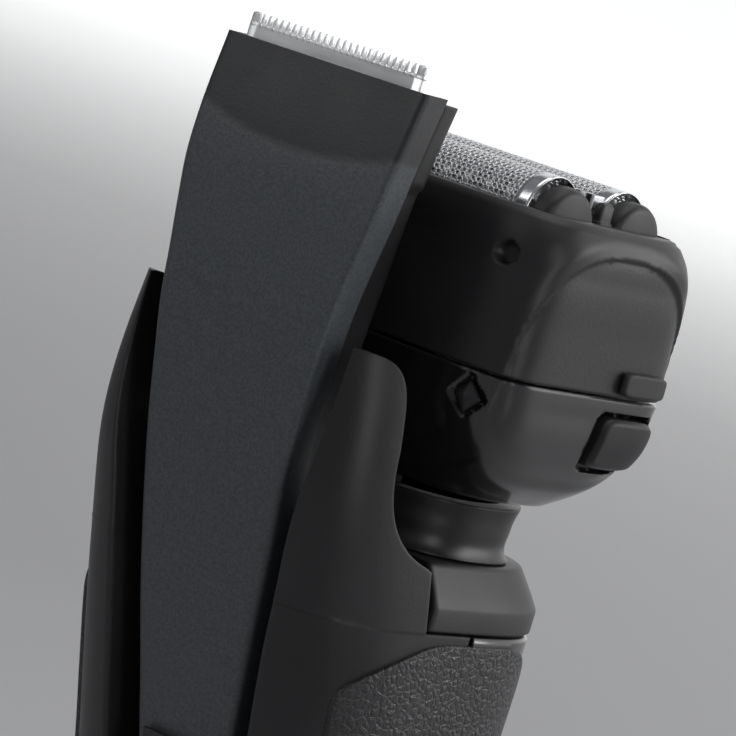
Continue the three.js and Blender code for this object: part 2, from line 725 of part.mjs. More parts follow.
// ---- Head: foil frame and cassette ----
function frameRings(inset, z0) {
  const up = (share) => seamZ + frameHeight * share;
  return [
    headRing(z0, inset, inset, inset, 8),
    headRing(up(0.3), 0.1 + inset, inset, 0.2 + inset, 7.5),
    headRing(up(0.65), 0.2 + inset, 0.2 + inset, 0.5 + inset, 6.5),
    headRing(up(0.88), 0.7 + inset, 0.6 + inset, 1.2 + inset, 5.5),
    headRing(up(1), 1.9 + inset, 1.6 + inset, 2.6 + inset, 5),
  ];
}

const capLength = 3.2;
const capRadius = 5.6;
const capDrop = 0.8; // caps below the foils
const slitHalfWidth = foilPitch / 2 - foilRadius - 0.7;
const slitCapHalfWidth = foilPitch / 2 - capRadius - 0.4;
const openingHalfX = foilLength / 2 + capLength + 0.6;
const openingHalfY = foilPitch / 2 + foilRadius + 1.1;
const openingDepth = 12;

function archOutline(radius, legBottom, drop = 0) {
  const centreZ = foilTop - foilRadius - drop;
  const shape = new THREE.Shape();
  shape.moveTo(-radius, legBottom);
  shape.lineTo(radius, legBottom);
  shape.absarc(0, centreZ, radius, 0, Math.PI);
  return shape;
}

const dimpleRadius = 1.6;
const dimpleX = headRight * 0.77;
const dimpleFloorY = headCentreY - headDepth / 2 + 2.1;

function framePieces(group) {
  const bottom = seamZ + gap;
  const shell = loft(frameRings(0, bottom)).subtract(loft([
    headRing(bottom - 1, wall, wall, wall, 6),
    headRing(frameTop - 6, wall + 0.6, wall + 0.6, wall + 1.2, 4.4),
  ], 20));
  const opening = slab(
    roundedRectangle(-openingHalfX, openingHalfX, headCentreY - openingHalfY, headCentreY + openingHalfY, 1.2),
    'z', frameTop - openingDepth, frameTop + 5,
  );
  let frame = shell.subtract(opening);
  for (const side of [-1, 1]) {
    const dimple = rod('y', dimpleRadius, -60, dimpleFloorY, [side * dimpleX, frameTop - 6], 16);
    frame = frame.subtract(dimple);
  }
  addPiece(group, 'foil_frame', frame, satinBlack);

  for (const side of [-1, 1]) {
    const tabPlan = slab(
      roundedRectangle(
        releaseY - releaseWidth / 2 + 1, releaseY + releaseWidth / 2 - 0.4,
        bottom + 0.4, bottom + 3.6, 1.2,
      ),
      'x', headRight - 8, headRight + 4,
    );
    const tabSkin = loft(frameRings(-releaseProud, bottom)).subtract(loft(frameRings(-gap, bottom - 1)));
    const tab = tabPlan.intersect(tabSkin);
    addPiece(group, side < 0 ? 'release_tab_left' : 'release_tab_right', side > 0 ? tab : mirrored(tab), satinBlack);
  }

  const cassetteBottom = frameTop - openingDepth + gap;
  const cassetteTop = frameTop - 3.4;
  const cassette = slab(
    roundedRectangle(
      -openingHalfX + gap, openingHalfX - gap,
      headCentreY - openingHalfY + gap, headCentreY + openingHalfY - gap, 1,
    ), 'z', cassetteBottom, cassetteTop,
  ).subtract(block(
    [-foilLength / 2 - 1, foilLength / 2 + 1],
    [headCentreY - openingHalfY + 1.6, headCentreY + openingHalfY - 1.6],
    [cassetteBottom - 1, cassetteTop - 2.4],
  ));
  let seat = cassette;
  for (const side of [-1, 1]) {
    const centre = headCentreY + (side * foilPitch) / 2;
    seat = seat.subtract(block(
      [-foilLength / 2 - capLength - 0.2, foilLength / 2 + capLength + 0.2],
      [centre - foilRadius - gap, centre + foilRadius + gap],
      [cassetteTop - 4.4 - foilTravel, cassetteTop + 5],
    ));
    seat = seat.subtract(block(
      [-foilLength / 2 - 1, foilLength / 2 + 1],
      [centre - foilRadius - gap, centre + foilRadius + gap],
      [cassetteBottom - 1, cassetteTop + 5],
    ));
  }
  addPiece(group, 'foil_cassette', seat, innerPlastic);

  const legBottom = cassetteTop - 4.2;
  for (const [name, side] of [['rear', -1], ['front', 1]]) {
    const centre = headCentreY + (side * foilPitch) / 2;
    const skin = slab(archOutline(foilRadius, legBottom), 'x', -foilLength / 2, foilLength / 2)
      .subtract(slab(
        archOutline(foilRadius - foilSkin, legBottom - 1), 'x', -foilLength / 2 - 1, foilLength / 2 + 1,
      ));
    addPiece(group, `${name}_foil`, skin, steel).position.set(0, centre, 0);
    for (const end of [-1, 1]) {
      const from = foilLength / 2 + gap;
      const to = foilLength / 2 + capLength;
      const cap = slab(archOutline(capRadius, legBottom, capDrop), 'x', from, to);
      addPiece(group, `${name}_foil_cap_${end < 0 ? 'left' : 'right'}`, end > 0 ? cap : mirrored(cap), satinBlack)
        .position.set(0, centre, 0);
    }
  }

  const slitTop = foilTop - 1.2;
  const slit = block(
    [-foilLength / 2 - 1, foilLength / 2 + 1],
    [headCentreY - slitHalfWidth, headCentreY + slitHalfWidth],
    [cassetteTop + gap, slitTop],
  );
  addPiece(group, 'slit_trimmer', slit, steel);
  for (const side of [-1, 1]) {
    const cap = block(
      [foilLength / 2 + 1 + gap, foilLength / 2 + capLength],
      [headCentreY - slitCapHalfWidth, headCentreY + slitCapHalfWidth],
      [cassetteTop + gap, slitTop - 0.6],
    );
    addPiece(group, side < 0 ? 'slit_cap_left' : 'slit_cap_right', side > 0 ? cap : mirrored(cap), satinBlack);
  }
}

const foilTravel = 1.2;

// ---- Long-hair trimmer on the back ----
const coverDepth = 4.4;
const coverSkin = 1;
const combDepth = coverSkin + gap;
const combThickness = 0.9;
const cutterDepth = combDepth + combThickness + 0.15;
const cutterThickness = 0.8;
const runnerHalfWidth = 2.2;
const runnerHeight = 12;
const runnerBottom = handleHeight - 14;

// Comb or cutter outline in x, z: a plate with a row of teeth along its top.
function toothedPlate(halfWidth, bottom, plateTop, tip, count, endTab) {
  const shape = new THREE.Shape();
  shape.moveTo(-halfWidth, bottom);
  shape.lineTo(halfWidth, bottom);
  shape.lineTo(halfWidth, endTab ? tip : plateTop);
  const from = halfWidth - endTab;
  if (endTab) shape.lineTo(from, tip);
  shape.lineTo(from, plateTop);
  const pitch = (2 * from) / count;
  for (let i = 0; i < count; i += 1) {
    const right = from - pitch * i;
    shape.lineTo(right - pitch * 0.28, plateTop);
    shape.lineTo(right - pitch * 0.36, tip);
    shape.lineTo(right - pitch * 0.64, tip);
    shape.lineTo(right - pitch * 0.72, plateTop);
  }
  shape.lineTo(-from, plateTop);
  if (endTab) shape.lineTo(-from, tip);
  shape.lineTo(-halfWidth, endTab ? tip : plateTop);
  return shape;
}

function trimmerPieces(group) {
  const fixed = (depth) => () => depth;
  const skirt = trimmerLayer(trimmerPlan(0, 0), fixed(0), fixed(coverDepth));
  const hollow = trimmerLayer(
    trimmerPlan(-coverSkin, 0, 12), fixed(coverSkin), fixed(coverDepth + 2), tailZ + 2, trimmerTop + 8,
  );
  addPiece(group, 'trimmer_cover', skirt.subtract(hollow), texturedGrey);

  const inner = (z) => thicknessAt(z);
  const ledgeZ = trimmerTop - 12;
  const upper = trimmerLayer(trimmerPlan(-0.5, 0), fixed(coverDepth + gap), inner, ledgeZ, trimmerTop - 0.8);
  const lower = trimmerLayer(trimmerPlan(-1.1, 0), fixed(coverDepth + gap), inner, tailZ - 1, ledgeZ + 0.1);
  addPiece(group, 'trimmer_frame', upper.add(lower), satinBlack);

  const topY = faceY(trimmerTop);
  const plateTop = trimmerTop + 1.5;
  const comb = slab(
    toothedPlate(combHalfWidth - 0.8, trimmerTop - 5, plateTop, plateTop + toothHeight, toothCount, 1.6),
    'y', topY + combDepth, topY + combDepth + combThickness,
  );
  addPiece(group, 'trimmer_comb', comb, steel);
  const cutter = slab(
    toothedPlate(
      combHalfWidth - 3.2, trimmerTop - 4, plateTop - 0.3,
      plateTop + toothHeight - 0.4, toothCount - 3, 0,
    ),
    'y', topY + cutterDepth, topY + cutterDepth + cutterThickness,
  );
  addPiece(group, 'trimmer_cutter', cutter, steel);
  const armTop = trimmerTop - 5.6;
  const arm = curvedBand(
    (z) => faceY(z) + coverSkin + 0.5,
    (z) => faceY(z) + coverDepth - 0.4,
    armTop - 34, armTop, 2.4, 8,
  );
  addPiece(group, 'cutter_arm', arm, innerPlastic);

  const thumbTop = tailZ + 11;
  let pad = trimmerLayer(trimmerPlan(-2.2, 0), fixed(-1.1), fixed(-gap), tailZ, thumbTop);
  for (let i = 0; i < 2; i += 1) {
    const z = tailZ + 4.6 + i * 3;
    pad = pad.subtract(trimmerLayer(trimmerPlan(2, 0), fixed(-2), fixed(-0.7), z, z + 1.2));
  }
  addPiece(group, 'thumb_pad', pad, gripRubber);

  const runnerY = faceY(runnerBottom) + thicknessAt(runnerBottom) + gap;
  const runner = block(
    [-runnerHalfWidth, runnerHalfWidth],
    [runnerY, runnerY + wall + 3.5],
    [runnerBottom, runnerBottom + runnerHeight],
  ).subtract(curvedBand((z) => faceY(z) - 5, (z) => faceY(z) + thicknessAt(z) + gap, tailZ, trimmerTop));
  addPiece(group, 'slide_runner', runner, innerPlastic);
}

// ---- Assembly ----
const shaver = new THREE.Group();
const handle = new THREE.Group();
const head = new THREE.Group();
const foilFrame = new THREE.Group();
const trimmer = new THREE.Group();
shaver.add(handle, head, trimmer);
head.add(foilFrame);

handlePieces(handle);
collarAndNeck(handle);
basePieces(handle);
powerPieces(handle);
cradlePieces(head);
framePieces(foilFrame);
trimmerPieces(trimmer);

export default shaver;
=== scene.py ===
import bmesh
import bpy
import json
import math
import numpy as np
from mathutils import Matrix, Vector


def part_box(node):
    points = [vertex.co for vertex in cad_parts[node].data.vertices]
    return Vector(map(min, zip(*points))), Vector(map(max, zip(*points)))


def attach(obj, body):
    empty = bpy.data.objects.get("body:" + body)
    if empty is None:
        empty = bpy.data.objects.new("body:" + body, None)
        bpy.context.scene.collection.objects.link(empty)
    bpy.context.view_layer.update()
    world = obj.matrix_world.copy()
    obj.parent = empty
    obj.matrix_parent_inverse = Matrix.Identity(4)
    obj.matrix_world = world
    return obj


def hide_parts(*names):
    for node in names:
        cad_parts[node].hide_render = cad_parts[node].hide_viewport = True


# Electric foil shaver in the shared frame: +Z up the handle, +X across, -Y towards the back, where
# the trimmer slides. Shapes are worked out in millimetres and turned into metres when a mesh is made.
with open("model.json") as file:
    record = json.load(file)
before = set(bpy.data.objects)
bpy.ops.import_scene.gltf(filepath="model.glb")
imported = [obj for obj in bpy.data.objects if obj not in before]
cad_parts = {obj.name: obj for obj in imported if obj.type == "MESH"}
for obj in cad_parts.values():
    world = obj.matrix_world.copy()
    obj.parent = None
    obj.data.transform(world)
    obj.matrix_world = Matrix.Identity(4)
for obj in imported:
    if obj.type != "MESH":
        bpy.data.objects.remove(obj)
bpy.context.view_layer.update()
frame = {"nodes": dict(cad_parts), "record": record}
millimetre = 0.001
shaded = math.radians(38)

# Levels shared by the pieces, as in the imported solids.
levels = {
    "handleHeight": 105.0,
    "collarTop": 113.3,
    "headBottom": 122.2,
    "seam": 139.2,
    "frameTop": 160.2,
    "foilTop": 164.6,
    "trimmerTop": 170.2,
    "earTip": 138.2,
    "splitY": -3.2,
    "headY": -2.4,
    "headHalfWidth": 31.2,
    "headHalfDepth": 19.25,
}


# A smooth curve through rows of [position, value, value, ...], read at many positions.
def throughStations(stations, at):
    stations = np.asarray(stations, float)
    position, values = stations[:, 0], stations[:, 1:]
    slopes = np.gradient(values, position, axis=0)
    at = np.clip(np.asarray(at, float), position[0], position[-1])
    k = np.clip(np.searchsorted(position, at) - 1, 0, len(position) - 2)
    span = (position[k + 1] - position[k])[..., None]
    t = ((at - position[k])[..., None]) / span
    return ((2 * t**3 - 3 * t**2 + 1) * values[k] + (t**3 - 2 * t**2 + t) * span * slopes[k]
            + (3 * t**2 - 2 * t**3) * values[k + 1] + (t**3 - t**2) * span * slopes[k + 1])


# 0 below low, 1 above high, and 3t^2 - 2t^3 between them.
def smoothStep(value, low, high):
    t = np.clip((value - low) / (high - low), 0, 1)
    return t * t * (3 - 2 * t)


# The same outline with count points at equal distances along it.
def evenly(points, count, closed=True):
    if closed:
        points = np.vstack([points, points[:1]])
    along = np.concatenate([[0], np.cumsum(np.linalg.norm(np.diff(points, axis=0), axis=1))])
    at = np.linspace(0, along[-1], count, endpoint=not closed)
    return np.stack([np.interp(at, along, points[:, i]) for i in range(points.shape[1])], 1)


# A rounded square |x/a|^p + |y/b|^p = 1, sampled at equal distances from its +X point.
def roundedSquare(halfWidth, back, front, power, count):
    angle = np.linspace(0, 2 * math.pi, 2400, endpoint=False)
    x = np.sign(np.cos(angle)) * np.abs(np.cos(angle)) ** (2 / power) * halfWidth
    y = np.sign(np.sin(angle)) * np.abs(np.sin(angle)) ** (2 / power) * (front - back) / 2
    return evenly(np.stack([x, y + (front + back) / 2], 1), count)


# Quads of a grid of rows by points, as an index array.
def gridFaces(rowCount, count, closedRows=False, closedAround=True):
    rows = np.arange(rowCount if closedRows else rowCount - 1)[:, None]
    points = np.arange(count if closedAround else count - 1)[None, :]
    nextRow, nextPoint = (rows + 1) % rowCount, (points + 1) % count
    quads = [rows * count + points, rows * count + nextPoint,
             nextRow * count + nextPoint, nextRow * count + points]
    return np.stack([np.broadcast_to(q, (rows.size, points.size)) for q in quads], -1).reshape(-1, 4)


# A named mesh piece that rides a body and stands in for the given nodes.
def makePiece(name, vertices, faces, material, body, nodes, slotName, angle=shaded):
    mesh = bpy.data.meshes.new(name)
    mesh.from_pydata((np.asarray(vertices) * millimetre).tolist(), [], [list(f) for f in faces])
    mesh.validate()
    mesh.materials.append(material)
    piece = bpy.data.objects.new(name, mesh)
    bpy.context.scene.collection.objects.link(piece)
    work = bmesh.new()
    work.from_mesh(mesh)
    bmesh.ops.recalc_face_normals(work, faces=work.faces)
    work.to_mesh(mesh)
    work.free()
    mesh.shade_smooth()
    mesh.set_sharp_from_angle(angle=angle)
    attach(piece, body)
    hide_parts(*nodes)
    return piece


# A closed skin whose rows run out, up, in and back again, like a stretched ring.
def ringPiece(name, rows, *rest):
    rows = np.asarray(rows)
    return makePiece(name, rows.reshape(-1, 3), gridFaces(len(rows), rows.shape[1], True).tolist(), *rest)


# Vertices and faces of a closed bar: outlines in rows with a flat fan at each end.
def barShape(rows):
    rows = np.asarray(rows)
    count = rows.shape[1]
    vertices = np.vstack([rows.reshape(-1, 3), rows[0].mean(0), rows[-1].mean(0)])
    faces = gridFaces(len(rows), count).tolist()
    last = len(rows) * count
    around = np.arange(count)
    following = (around + 1) % count
    faces += np.stack([following, around, np.full(count, last)], 1).tolist()
    top = (len(rows) - 1) * count
    faces += np.stack([top + around, top + following, np.full(count, last + 1)], 1).tolist()
    return vertices, faces


# Several (vertices, faces) shapes in one mesh.
def joined(shapes):
    allVertices, allFaces, start = [], [], 0
    for vertices, faces in shapes:
        allVertices.append(vertices)
        allFaces += [[i + start for i in face] for face in faces]
        start += len(vertices)
    return np.vstack(allVertices), allFaces


# A flat outline lifted to one level.
def withZ(outline, z):
    return np.column_stack([outline, np.full(len(outline), z)])


# Rounds an outline's corners by averaging each point with its neighbours.
def softened(outline, times, pinned=None):
    soft = outline.copy()
    for _ in range(times):
        soft = (np.roll(soft, 1, 0) + np.roll(soft, -1, 0) + 2 * soft) / 4
        if pinned is not None:
            soft[pinned] = outline[pinned]
    return soft


# A new material with its nodes, links and Principled shader.
def newMaterial(name):
    material = bpy.data.materials.new(name)
    material.use_nodes = True
    nodes = material.node_tree.nodes
    return material, nodes, material.node_tree.links, nodes["Principled BSDF"]


# A texture read at the piece's own Object coordinates.
def objectNoise(nodes, links, kind, scale, stretch=(1, 1, 1), detail=6.0):
    coordinates = nodes.new("ShaderNodeTexCoord")
    mapping = nodes.new("ShaderNodeMapping")
    mapping.inputs["Scale"].default_value = stretch
    texture = nodes.new(kind)
    texture.inputs["Scale"].default_value = scale
    if "Detail" in texture.inputs:
        texture.inputs["Detail"].default_value = detail
    links.new(coordinates.outputs["Object"], mapping.inputs["Vector"])
    links.new(mapping.outputs["Vector"], texture.inputs["Vector"])
    return texture


# Surface grain of the given height, on edges rounded by the given radius.
def addBump(nodes, links, shader, height, strength, distance, edge=0.0):
    bump = nodes.new("ShaderNodeBump")
    bump.inputs["Strength"].default_value = strength
    bump.inputs["Distance"].default_value = distance
    links.new(height, bump.inputs["Height"])
    if edge:
        bevel = nodes.new("ShaderNodeBevel")
        bevel.samples = 4
        bevel.inputs["Radius"].default_value = edge
        links.new(bevel.outputs["Normal"], bump.inputs["Normal"])
    links.new(bump.outputs["Normal"], shader.inputs["Normal"])


# Sends a 0 to 1 texture value to a socket as low to high.
def spread(nodes, links, source, low, high, target):
    remap = nodes.new("ShaderNodeMapRange")
    remap.inputs["From Min"].default_value = 0.3
    remap.inputs["From Max"].default_value = 0.7
    remap.inputs["To Min"].default_value = low
    remap.inputs["To Max"].default_value = high
    links.new(source, remap.inputs["Value"])
    links.new(remap.outputs["Result"], target)


# Sends a 0 to 1 texture value to the base colour as dark to light.
def tinted(nodes, links, source, dark, light, shader):
    ramp = nodes.new("ShaderNodeValToRGB")
    ramp.color_ramp.elements[0].position = 0.3
    ramp.color_ramp.elements[1].position = 0.7
    ramp.color_ramp.elements[0].color = (*dark, 1)
    ramp.color_ramp.elements[1].color = (*light, 1)
    links.new(source, ramp.inputs["Fac"])
    links.new(ramp.outputs["Color"], shader.inputs["Base Color"])


# Moulded plastic: slow tone drift, and a fine spark grain of the given height.
def mouldedPlastic(name, dark, light, roughness, grain, edge=0.0005, coat=0.0):
    material, nodes, links, shader = newMaterial(name)
    drift = objectNoise(nodes, links, "ShaderNodeTexNoise", 60)
    tinted(nodes, links, drift.outputs["Fac"], dark, light, shader)
    low, high = roughness * 0.88, roughness * 1.12
    spread(nodes, links, drift.outputs["Fac"], low, high, shader.inputs["Roughness"])
    fine = objectNoise(nodes, links, "ShaderNodeTexNoise", 3800, detail=2.0)
    addBump(nodes, links, shader, fine.outputs["Fac"], 0.5, grain, edge)
    shader.inputs["Specular IOR Level"].default_value = 0.5 if coat else 0.34
    shader.inputs["Coat Weight"].default_value = coat
    shader.inputs["Coat Roughness"].default_value = 0.08
    return material


# Brushed metal: noise stretched along the brushing.
def metal(name, colour, roughness, stretch, edge=0.0002):
    material, nodes, links, shader = newMaterial(name)
    shader.inputs["Metallic"].default_value = 1.0
    brush = objectNoise(nodes, links, "ShaderNodeTexNoise", 500, stretch)
    tinted(nodes, links, brush.outputs["Fac"], tuple(c * 0.88 for c in colour), colour, shader)
    low, high = roughness * 0.75, roughness * 1.25
    spread(nodes, links, brush.outputs["Fac"], low, high, shader.inputs["Roughness"])
    addBump(nodes, links, shader, brush.outputs["Fac"], 0.15, 0.00002, edge)
    return material


# Grip rubber with a pebbled leather grain: shallow creases between rounded cells.
def leatherRubber(name):
    material, nodes, links, shader = newMaterial(name)
    cells = objectNoise(nodes, links, "ShaderNodeTexVoronoi", 880)
    cells.feature = "DISTANCE_TO_EDGE"
    crease = nodes.new("ShaderNodeMapRange")
    crease.inputs["From Min"].default_value = 0.0
    crease.inputs["From Max"].default_value = 0.16
    links.new(cells.outputs["Distance"], crease.inputs["Value"])
    drift = objectNoise(nodes, links, "ShaderNodeTexNoise", 90)
    tinted(nodes, links, drift.outputs["Fac"], (0.010, 0.010, 0.011), (0.016, 0.016, 0.018), shader)
    spread(nodes, links, drift.outputs["Fac"], 0.30, 0.42, shader.inputs["Roughness"])
    addBump(nodes, links, shader, crease.outputs["Result"], 0.75, 0.00016, 0.0004)
    return material


# Steel with dark slits across it, as on the low trimmer between the foils; the dark bands are painted shade
# standing in for the deep gaps of the slits.
def slitSteel(name):
    material, nodes, links, shader = newMaterial(name)
    shader.inputs["Metallic"].default_value = 1.0
    shader.inputs["Roughness"].default_value = 0.3
    wave = objectNoise(nodes, links, "ShaderNodeTexWave", 160)
    wave.bands_direction = "X"
    # Painted shade: the near-black end of the ramp paints the shade inside the slits.
    tinted(nodes, links, wave.outputs["Fac"], (0.03, 0.03, 0.03), (0.66, 0.67, 0.69), shader)
    addBump(nodes, links, shader, wave.outputs["Fac"], 0.4, 0.0002, 0.0003)
    return material


# Fine spark-grained grey, with painted shade: flat, darker and smoother on the upper slope above the face's
# arc, which tilts away from the light.
def texturedGrey(name):
    material, nodes, links, shader = newMaterial(name)
    # Reads the mask of where painted shade falls on the cover.
    facetPaintedShade = nodes.new("ShaderNodeAttribute")
    facetPaintedShade.attribute_name = "facetPaintedShade"
    fine = objectNoise(nodes, links, "ShaderNodeTexNoise", 2600, detail=3.0)
    speckle = nodes.new("ShaderNodeValToRGB")
    speckle.color_ramp.elements[0].position = 0.35
    speckle.color_ramp.elements[1].position = 0.72
    speckle.color_ramp.elements[0].color = (0.036, 0.041, 0.046, 1)
    speckle.color_ramp.elements[1].color = (0.066, 0.074, 0.082, 1)
    links.new(fine.outputs["Fac"], speckle.inputs["Fac"])
    mix = nodes.new("ShaderNodeMix")
    mix.data_type = "RGBA"
    links.new(facetPaintedShade.outputs["Fac"], mix.inputs[0])
    links.new(speckle.outputs["Color"], mix.inputs[6])
    # Painted shade: this near-black colour replaces the speckled grey above the arc, standing in for the
    # shade of a slope tilted away from the light.
    mix.inputs[7].default_value = (0.015, 0.016, 0.018, 1)
    links.new(mix.outputs[2], shader.inputs["Base Color"])
    rough = objectNoise(nodes, links, "ShaderNodeTexNoise", 120)
    spread(nodes, links, rough.outputs["Fac"], 0.42, 0.54, shader.inputs["Roughness"])
    addBump(nodes, links, shader, fine.outputs["Fac"], 0.55, 0.00004)
    return material


finishes = {
    "satin_black": mouldedPlastic("satinBlack", (0.013, 0.013, 0.014), (0.019, 0.019, 0.021), 0.42, 0.00004),
    "gloss_black": mouldedPlastic("glossBlack", (0.008, 0.008, 0.009), (0.011, 0.011, 0.012), 0.16,
                                  0.000002, coat=0.5),
    "textured_grey": texturedGrey("texturedGrey"),
    "grip_rubber": leatherRubber("gripRubber"),
    "seal_rubber": mouldedPlastic("sealRubber", (0.008, 0.008, 0.009), (0.012, 0.012, 0.013), 0.36, 0.00001),
    "steel": metal("brushedSteel", (0.8, 0.81, 0.82), 0.42, (0.12, 1, 1)),
    "foil_steel": metal("foilSteel", (0.74, 0.75, 0.77), 0.2, (0.1, 1, 1)),
    "inner_plastic": mouldedPlastic("innerPlastic", (0.020, 0.021, 0.023), (0.03, 0.031, 0.033), 0.5,
                                    0.00001),
    "brass_pin": metal("brassPin", (0.82, 0.62, 0.28), 0.25, (1, 1, 0.2)),
    "smoke_lens": mouldedPlastic("smokeLens", (0.004, 0.004, 0.005), (0.006, 0.006, 0.007), 0.07,
                                 0.000001, coat=1.0),
    "battery_wrap": mouldedPlastic("batteryWrap", (0.02, 0.12, 0.3), (0.03, 0.16, 0.38), 0.3, 0.000005),
    "board_green": mouldedPlastic("boardGreen", (0.015, 0.09, 0.035), (0.02, 0.13, 0.05), 0.4, 0.00001),
}
slitFinish = slitSteel("slitSteel")
for entry in frame["record"]["subparts"]:
    node = frame["nodes"][entry["node"]]
    node.data.materials.clear()
    ownSlits = entry["node"] == "slit_trimmer"
    node.data.materials.append(slitFinish if ownSlits else finishes[entry["material_slot"]])
print("stage: materials done")


# Head: cradle and foil frame.
head = {
    "around": 420,
    "wall": 2.0,
    "releaseY": 6.6,
    "releaseHalfWidth": 6.35,
    "releaseBottom": 129.2,
    "releaseTop": 137.4,
    "releaseDepth": 3.4,
    "archRecess": 0.5,
    "wedgeX": 24.65,
    "wedgeZ": 135.8,
    "dimpleX": 24.02,
    "dimpleZ": 154.2,
}
# share of the height, width inset, back inset, front inset, squareness
cradleStations = [[0, 8.2, 7.2, 5.4, 3.2], [0.18, 4.4, 4.9, 3, 3.8], [0.37, 2.1, 2.9, 1.5, 5],
                  [0.6, 0.6, 1.2, 0.9, 7], [1, 0, 0, 0, 8]]
frameStations = [[0, 0, 0, 0, 8], [0.3, 0.1, 0, 0.2, 7.5], [0.65, 0.2, 0.2, 0.5, 6.5],
                 [0.88, 0.7, 0.6, 1.2, 5.5], [1, 1.9, 1.6, 2.6, 5]]


def headOutline(stations, share, inset):
    widthInset, backInset, frontInset, power = throughStations(stations, share)
    return roundedSquare(
        levels["headHalfWidth"] - widthInset - inset,
        levels["headY"] - levels["headHalfDepth"] + backInset + inset,
        levels["headY"] + levels["headHalfDepth"] - frontInset - inset,
        power, head["around"],
    )


# Moves points by depth along X (towards 0) or Y (forwards).
def pressedIn(points, depth, towards):
    moved = points.copy()
    if towards == "x":
        moved[:, 0] -= np.sign(moved[:, 0]) * depth
    else:
        moved[:, 1] += depth
    return moved


# How far the side panels sit in: nothing outside the arch, the full recess inside it.
def archDepth(points):
    y, z = points[:, 1] - levels["headY"], points[:, 2] - 138.5
    reach = (np.abs(y / 17.6) ** 2.6 + np.abs(z / np.where(z > 0, 18.6, 15.0)) ** 2.6) ** (1 / 2.6)
    onSide = smoothStep(np.abs(points[:, 0]), 27, 28.5)
    ridge = 0.22 * np.exp(-(((reach - 1.1) / 0.05) ** 2))
    return (head["archRecess"] * (1 - smoothStep(reach, 0.975, 1.0)) - ridge * (reach < 1.3)) * onSide


# The pockets that the release buttons sit in, as a rounded rectangle on each side.
def releaseDepth(points):
    u = (points[:, 1] - head["releaseY"]) / head["releaseHalfWidth"]
    middle = (head["releaseBottom"] + head["releaseTop"]) / 2
    v = (points[:, 2] - middle) / ((head["releaseTop"] - head["releaseBottom"]) / 2)
    reach = (np.abs(u) ** 7 + np.abs(v) ** 7) ** (1 / 7)
    return head["releaseDepth"] * (1 - smoothStep(reach, 0.96, 1.03)) * (np.abs(points[:, 0]) > 20)


# A pocket in the back face: round for the dimple, four-cornered for the wedge.
def backMark(points, x, z, radius, depth, pointed):
    u, v = (np.abs(points[:, 0]) - x) / radius, (points[:, 2] - z) / radius
    reach = np.abs(u) + np.abs(v) if pointed else np.hypot(u, v)
    return depth * (1 - smoothStep(reach, 0.8, 1.0)) * (points[:, 1] < levels["headY"])


def headRow(stations, base, height, share, inset):
    points = withZ(headOutline(stations, share, inset), base + height * share)
    points = pressedIn(points, archDepth(points), "x")
    points = pressedIn(points, releaseDepth(points), "x")
    points = pressedIn(points, backMark(points, head["wedgeX"], head["wedgeZ"], 3.0, 0.9, True), "y")
    return pressedIn(points, backMark(points, head["dimpleX"], head["dimpleZ"], 1.55, 1.5, False), "y")


def buildHead():
    base, height = levels["headBottom"], levels["seam"] - levels["headBottom"]
    shares = np.linspace(0, 1, 52)
    outside = [headRow(cradleStations, base, height, s, 0) for s in shares[1:-1]]
    lip = [headRow(cradleStations, base, height, 1 - 0.25 / height, 0),
           headRow(cradleStations, base, height, 1, 0.25)]
    inside = [headRow(cradleStations, base, height, s, head["wall"]) for s in np.linspace(1, 0.22, 24)]
    neck = roundedSquare(7.5, levels["headY"] - 7.5, levels["headY"] + 7.5, 2, head["around"])
    floor = headOutline(cradleStations, 0.1, head["wall"] + 2)
    under = headOutline(cradleStations, 0, 1.2)
    rows = outside[:-1] + lip + inside
    rows += [withZ(floor, base + 2.4), withZ(neck, base + 2), withZ(neck, base + 0.3)]
    rows += [withZ(neck * 0.2 + under * 0.8, base), withZ(headOutline(cradleStations, 0, 0.5), base + 0.05)]
    ringPiece("headCradle", rows, finishes["gloss_black"], "head", ["head_cradle"], "gloss_black")

    base, height = levels["seam"] + 0.3, levels["frameTop"] - levels["seam"] - 0.3
    outside = [headRow(frameStations, base, height, s, 0) for s in np.linspace(0.012, 0.965, 62)]
    start = [headRow(frameStations, base, height, 0, 0.25)]
    edge = [withZ(headOutline(frameStations, 1, inset), base + height - drop)
            for inset, drop in [(0.0, 0.42), (0.25, 0.12), (0.7, 0.0)]]
    hole = evenly(np.array(cornerRounded(25.3, 14.4, 1.6)) + [0, levels["headY"]], head["around"])
    top = levels["frameTop"]
    opening = [withZ(scaledTo(hole, 0.45), top), withZ(scaledTo(hole, 0.1), top - 0.15),
               withZ(hole, top - 0.5)]
    opening += [withZ(hole, top - 3), withZ(hole, top - 5.9)]
    inside = [withZ(headOutline(frameStations, s, 2.6), base + height * s) for s in (0.7, 0.5)]
    inside += [headRow(frameStations, base, height, s, head["wall"]) for s in (0.3, 0.15, 0.02, 0)]
    rows = start + outside + edge + opening + inside
    ringPiece("foilFrame", rows, finishes["satin_black"], "foil_unit", ["foil_frame"], "satin_black")


# A rectangle with round corners, from its +X side, counter-clockwise.
def cornerRounded(halfX, halfY, radius):
    points = [[halfX, 0]]
    for cornerX, cornerY, start in ((1, 1, 0), (-1, 1, 90), (-1, -1, 180), (1, -1, 270)):
        angles = np.radians(np.linspace(start, start + 90, 12))
        centre = np.array([cornerX * (halfX - radius), cornerY * (halfY - radius)])
        points += (centre + radius * np.stack([np.cos(angles), np.sin(angles)], 1)).tolist()
    return points


def scaledTo(outline, grow):
    centre = outline.mean(0)
    away = outline - centre
    return outline + grow * away / np.linalg.norm(away, axis=1, keepdims=True)


# Half width of the head's side at places (y, z), standing proud by a given amount.
def headSideX(stations, base, height, y, z, proud):
    widthInset, backInset, frontInset, power = throughStations(stations, (z - base) / height)
    back = levels["headY"] - levels["headHalfDepth"] + backInset - proud
    front = levels["headY"] + levels["headHalfDepth"] - frontInset + proud
    reach = np.clip(np.abs((y - (back + front) / 2) / ((front - back) / 2)), 0, 0.999)
    return (levels["headHalfWidth"] - widthInset + proud) * (1 - reach**power) ** (1 / power)


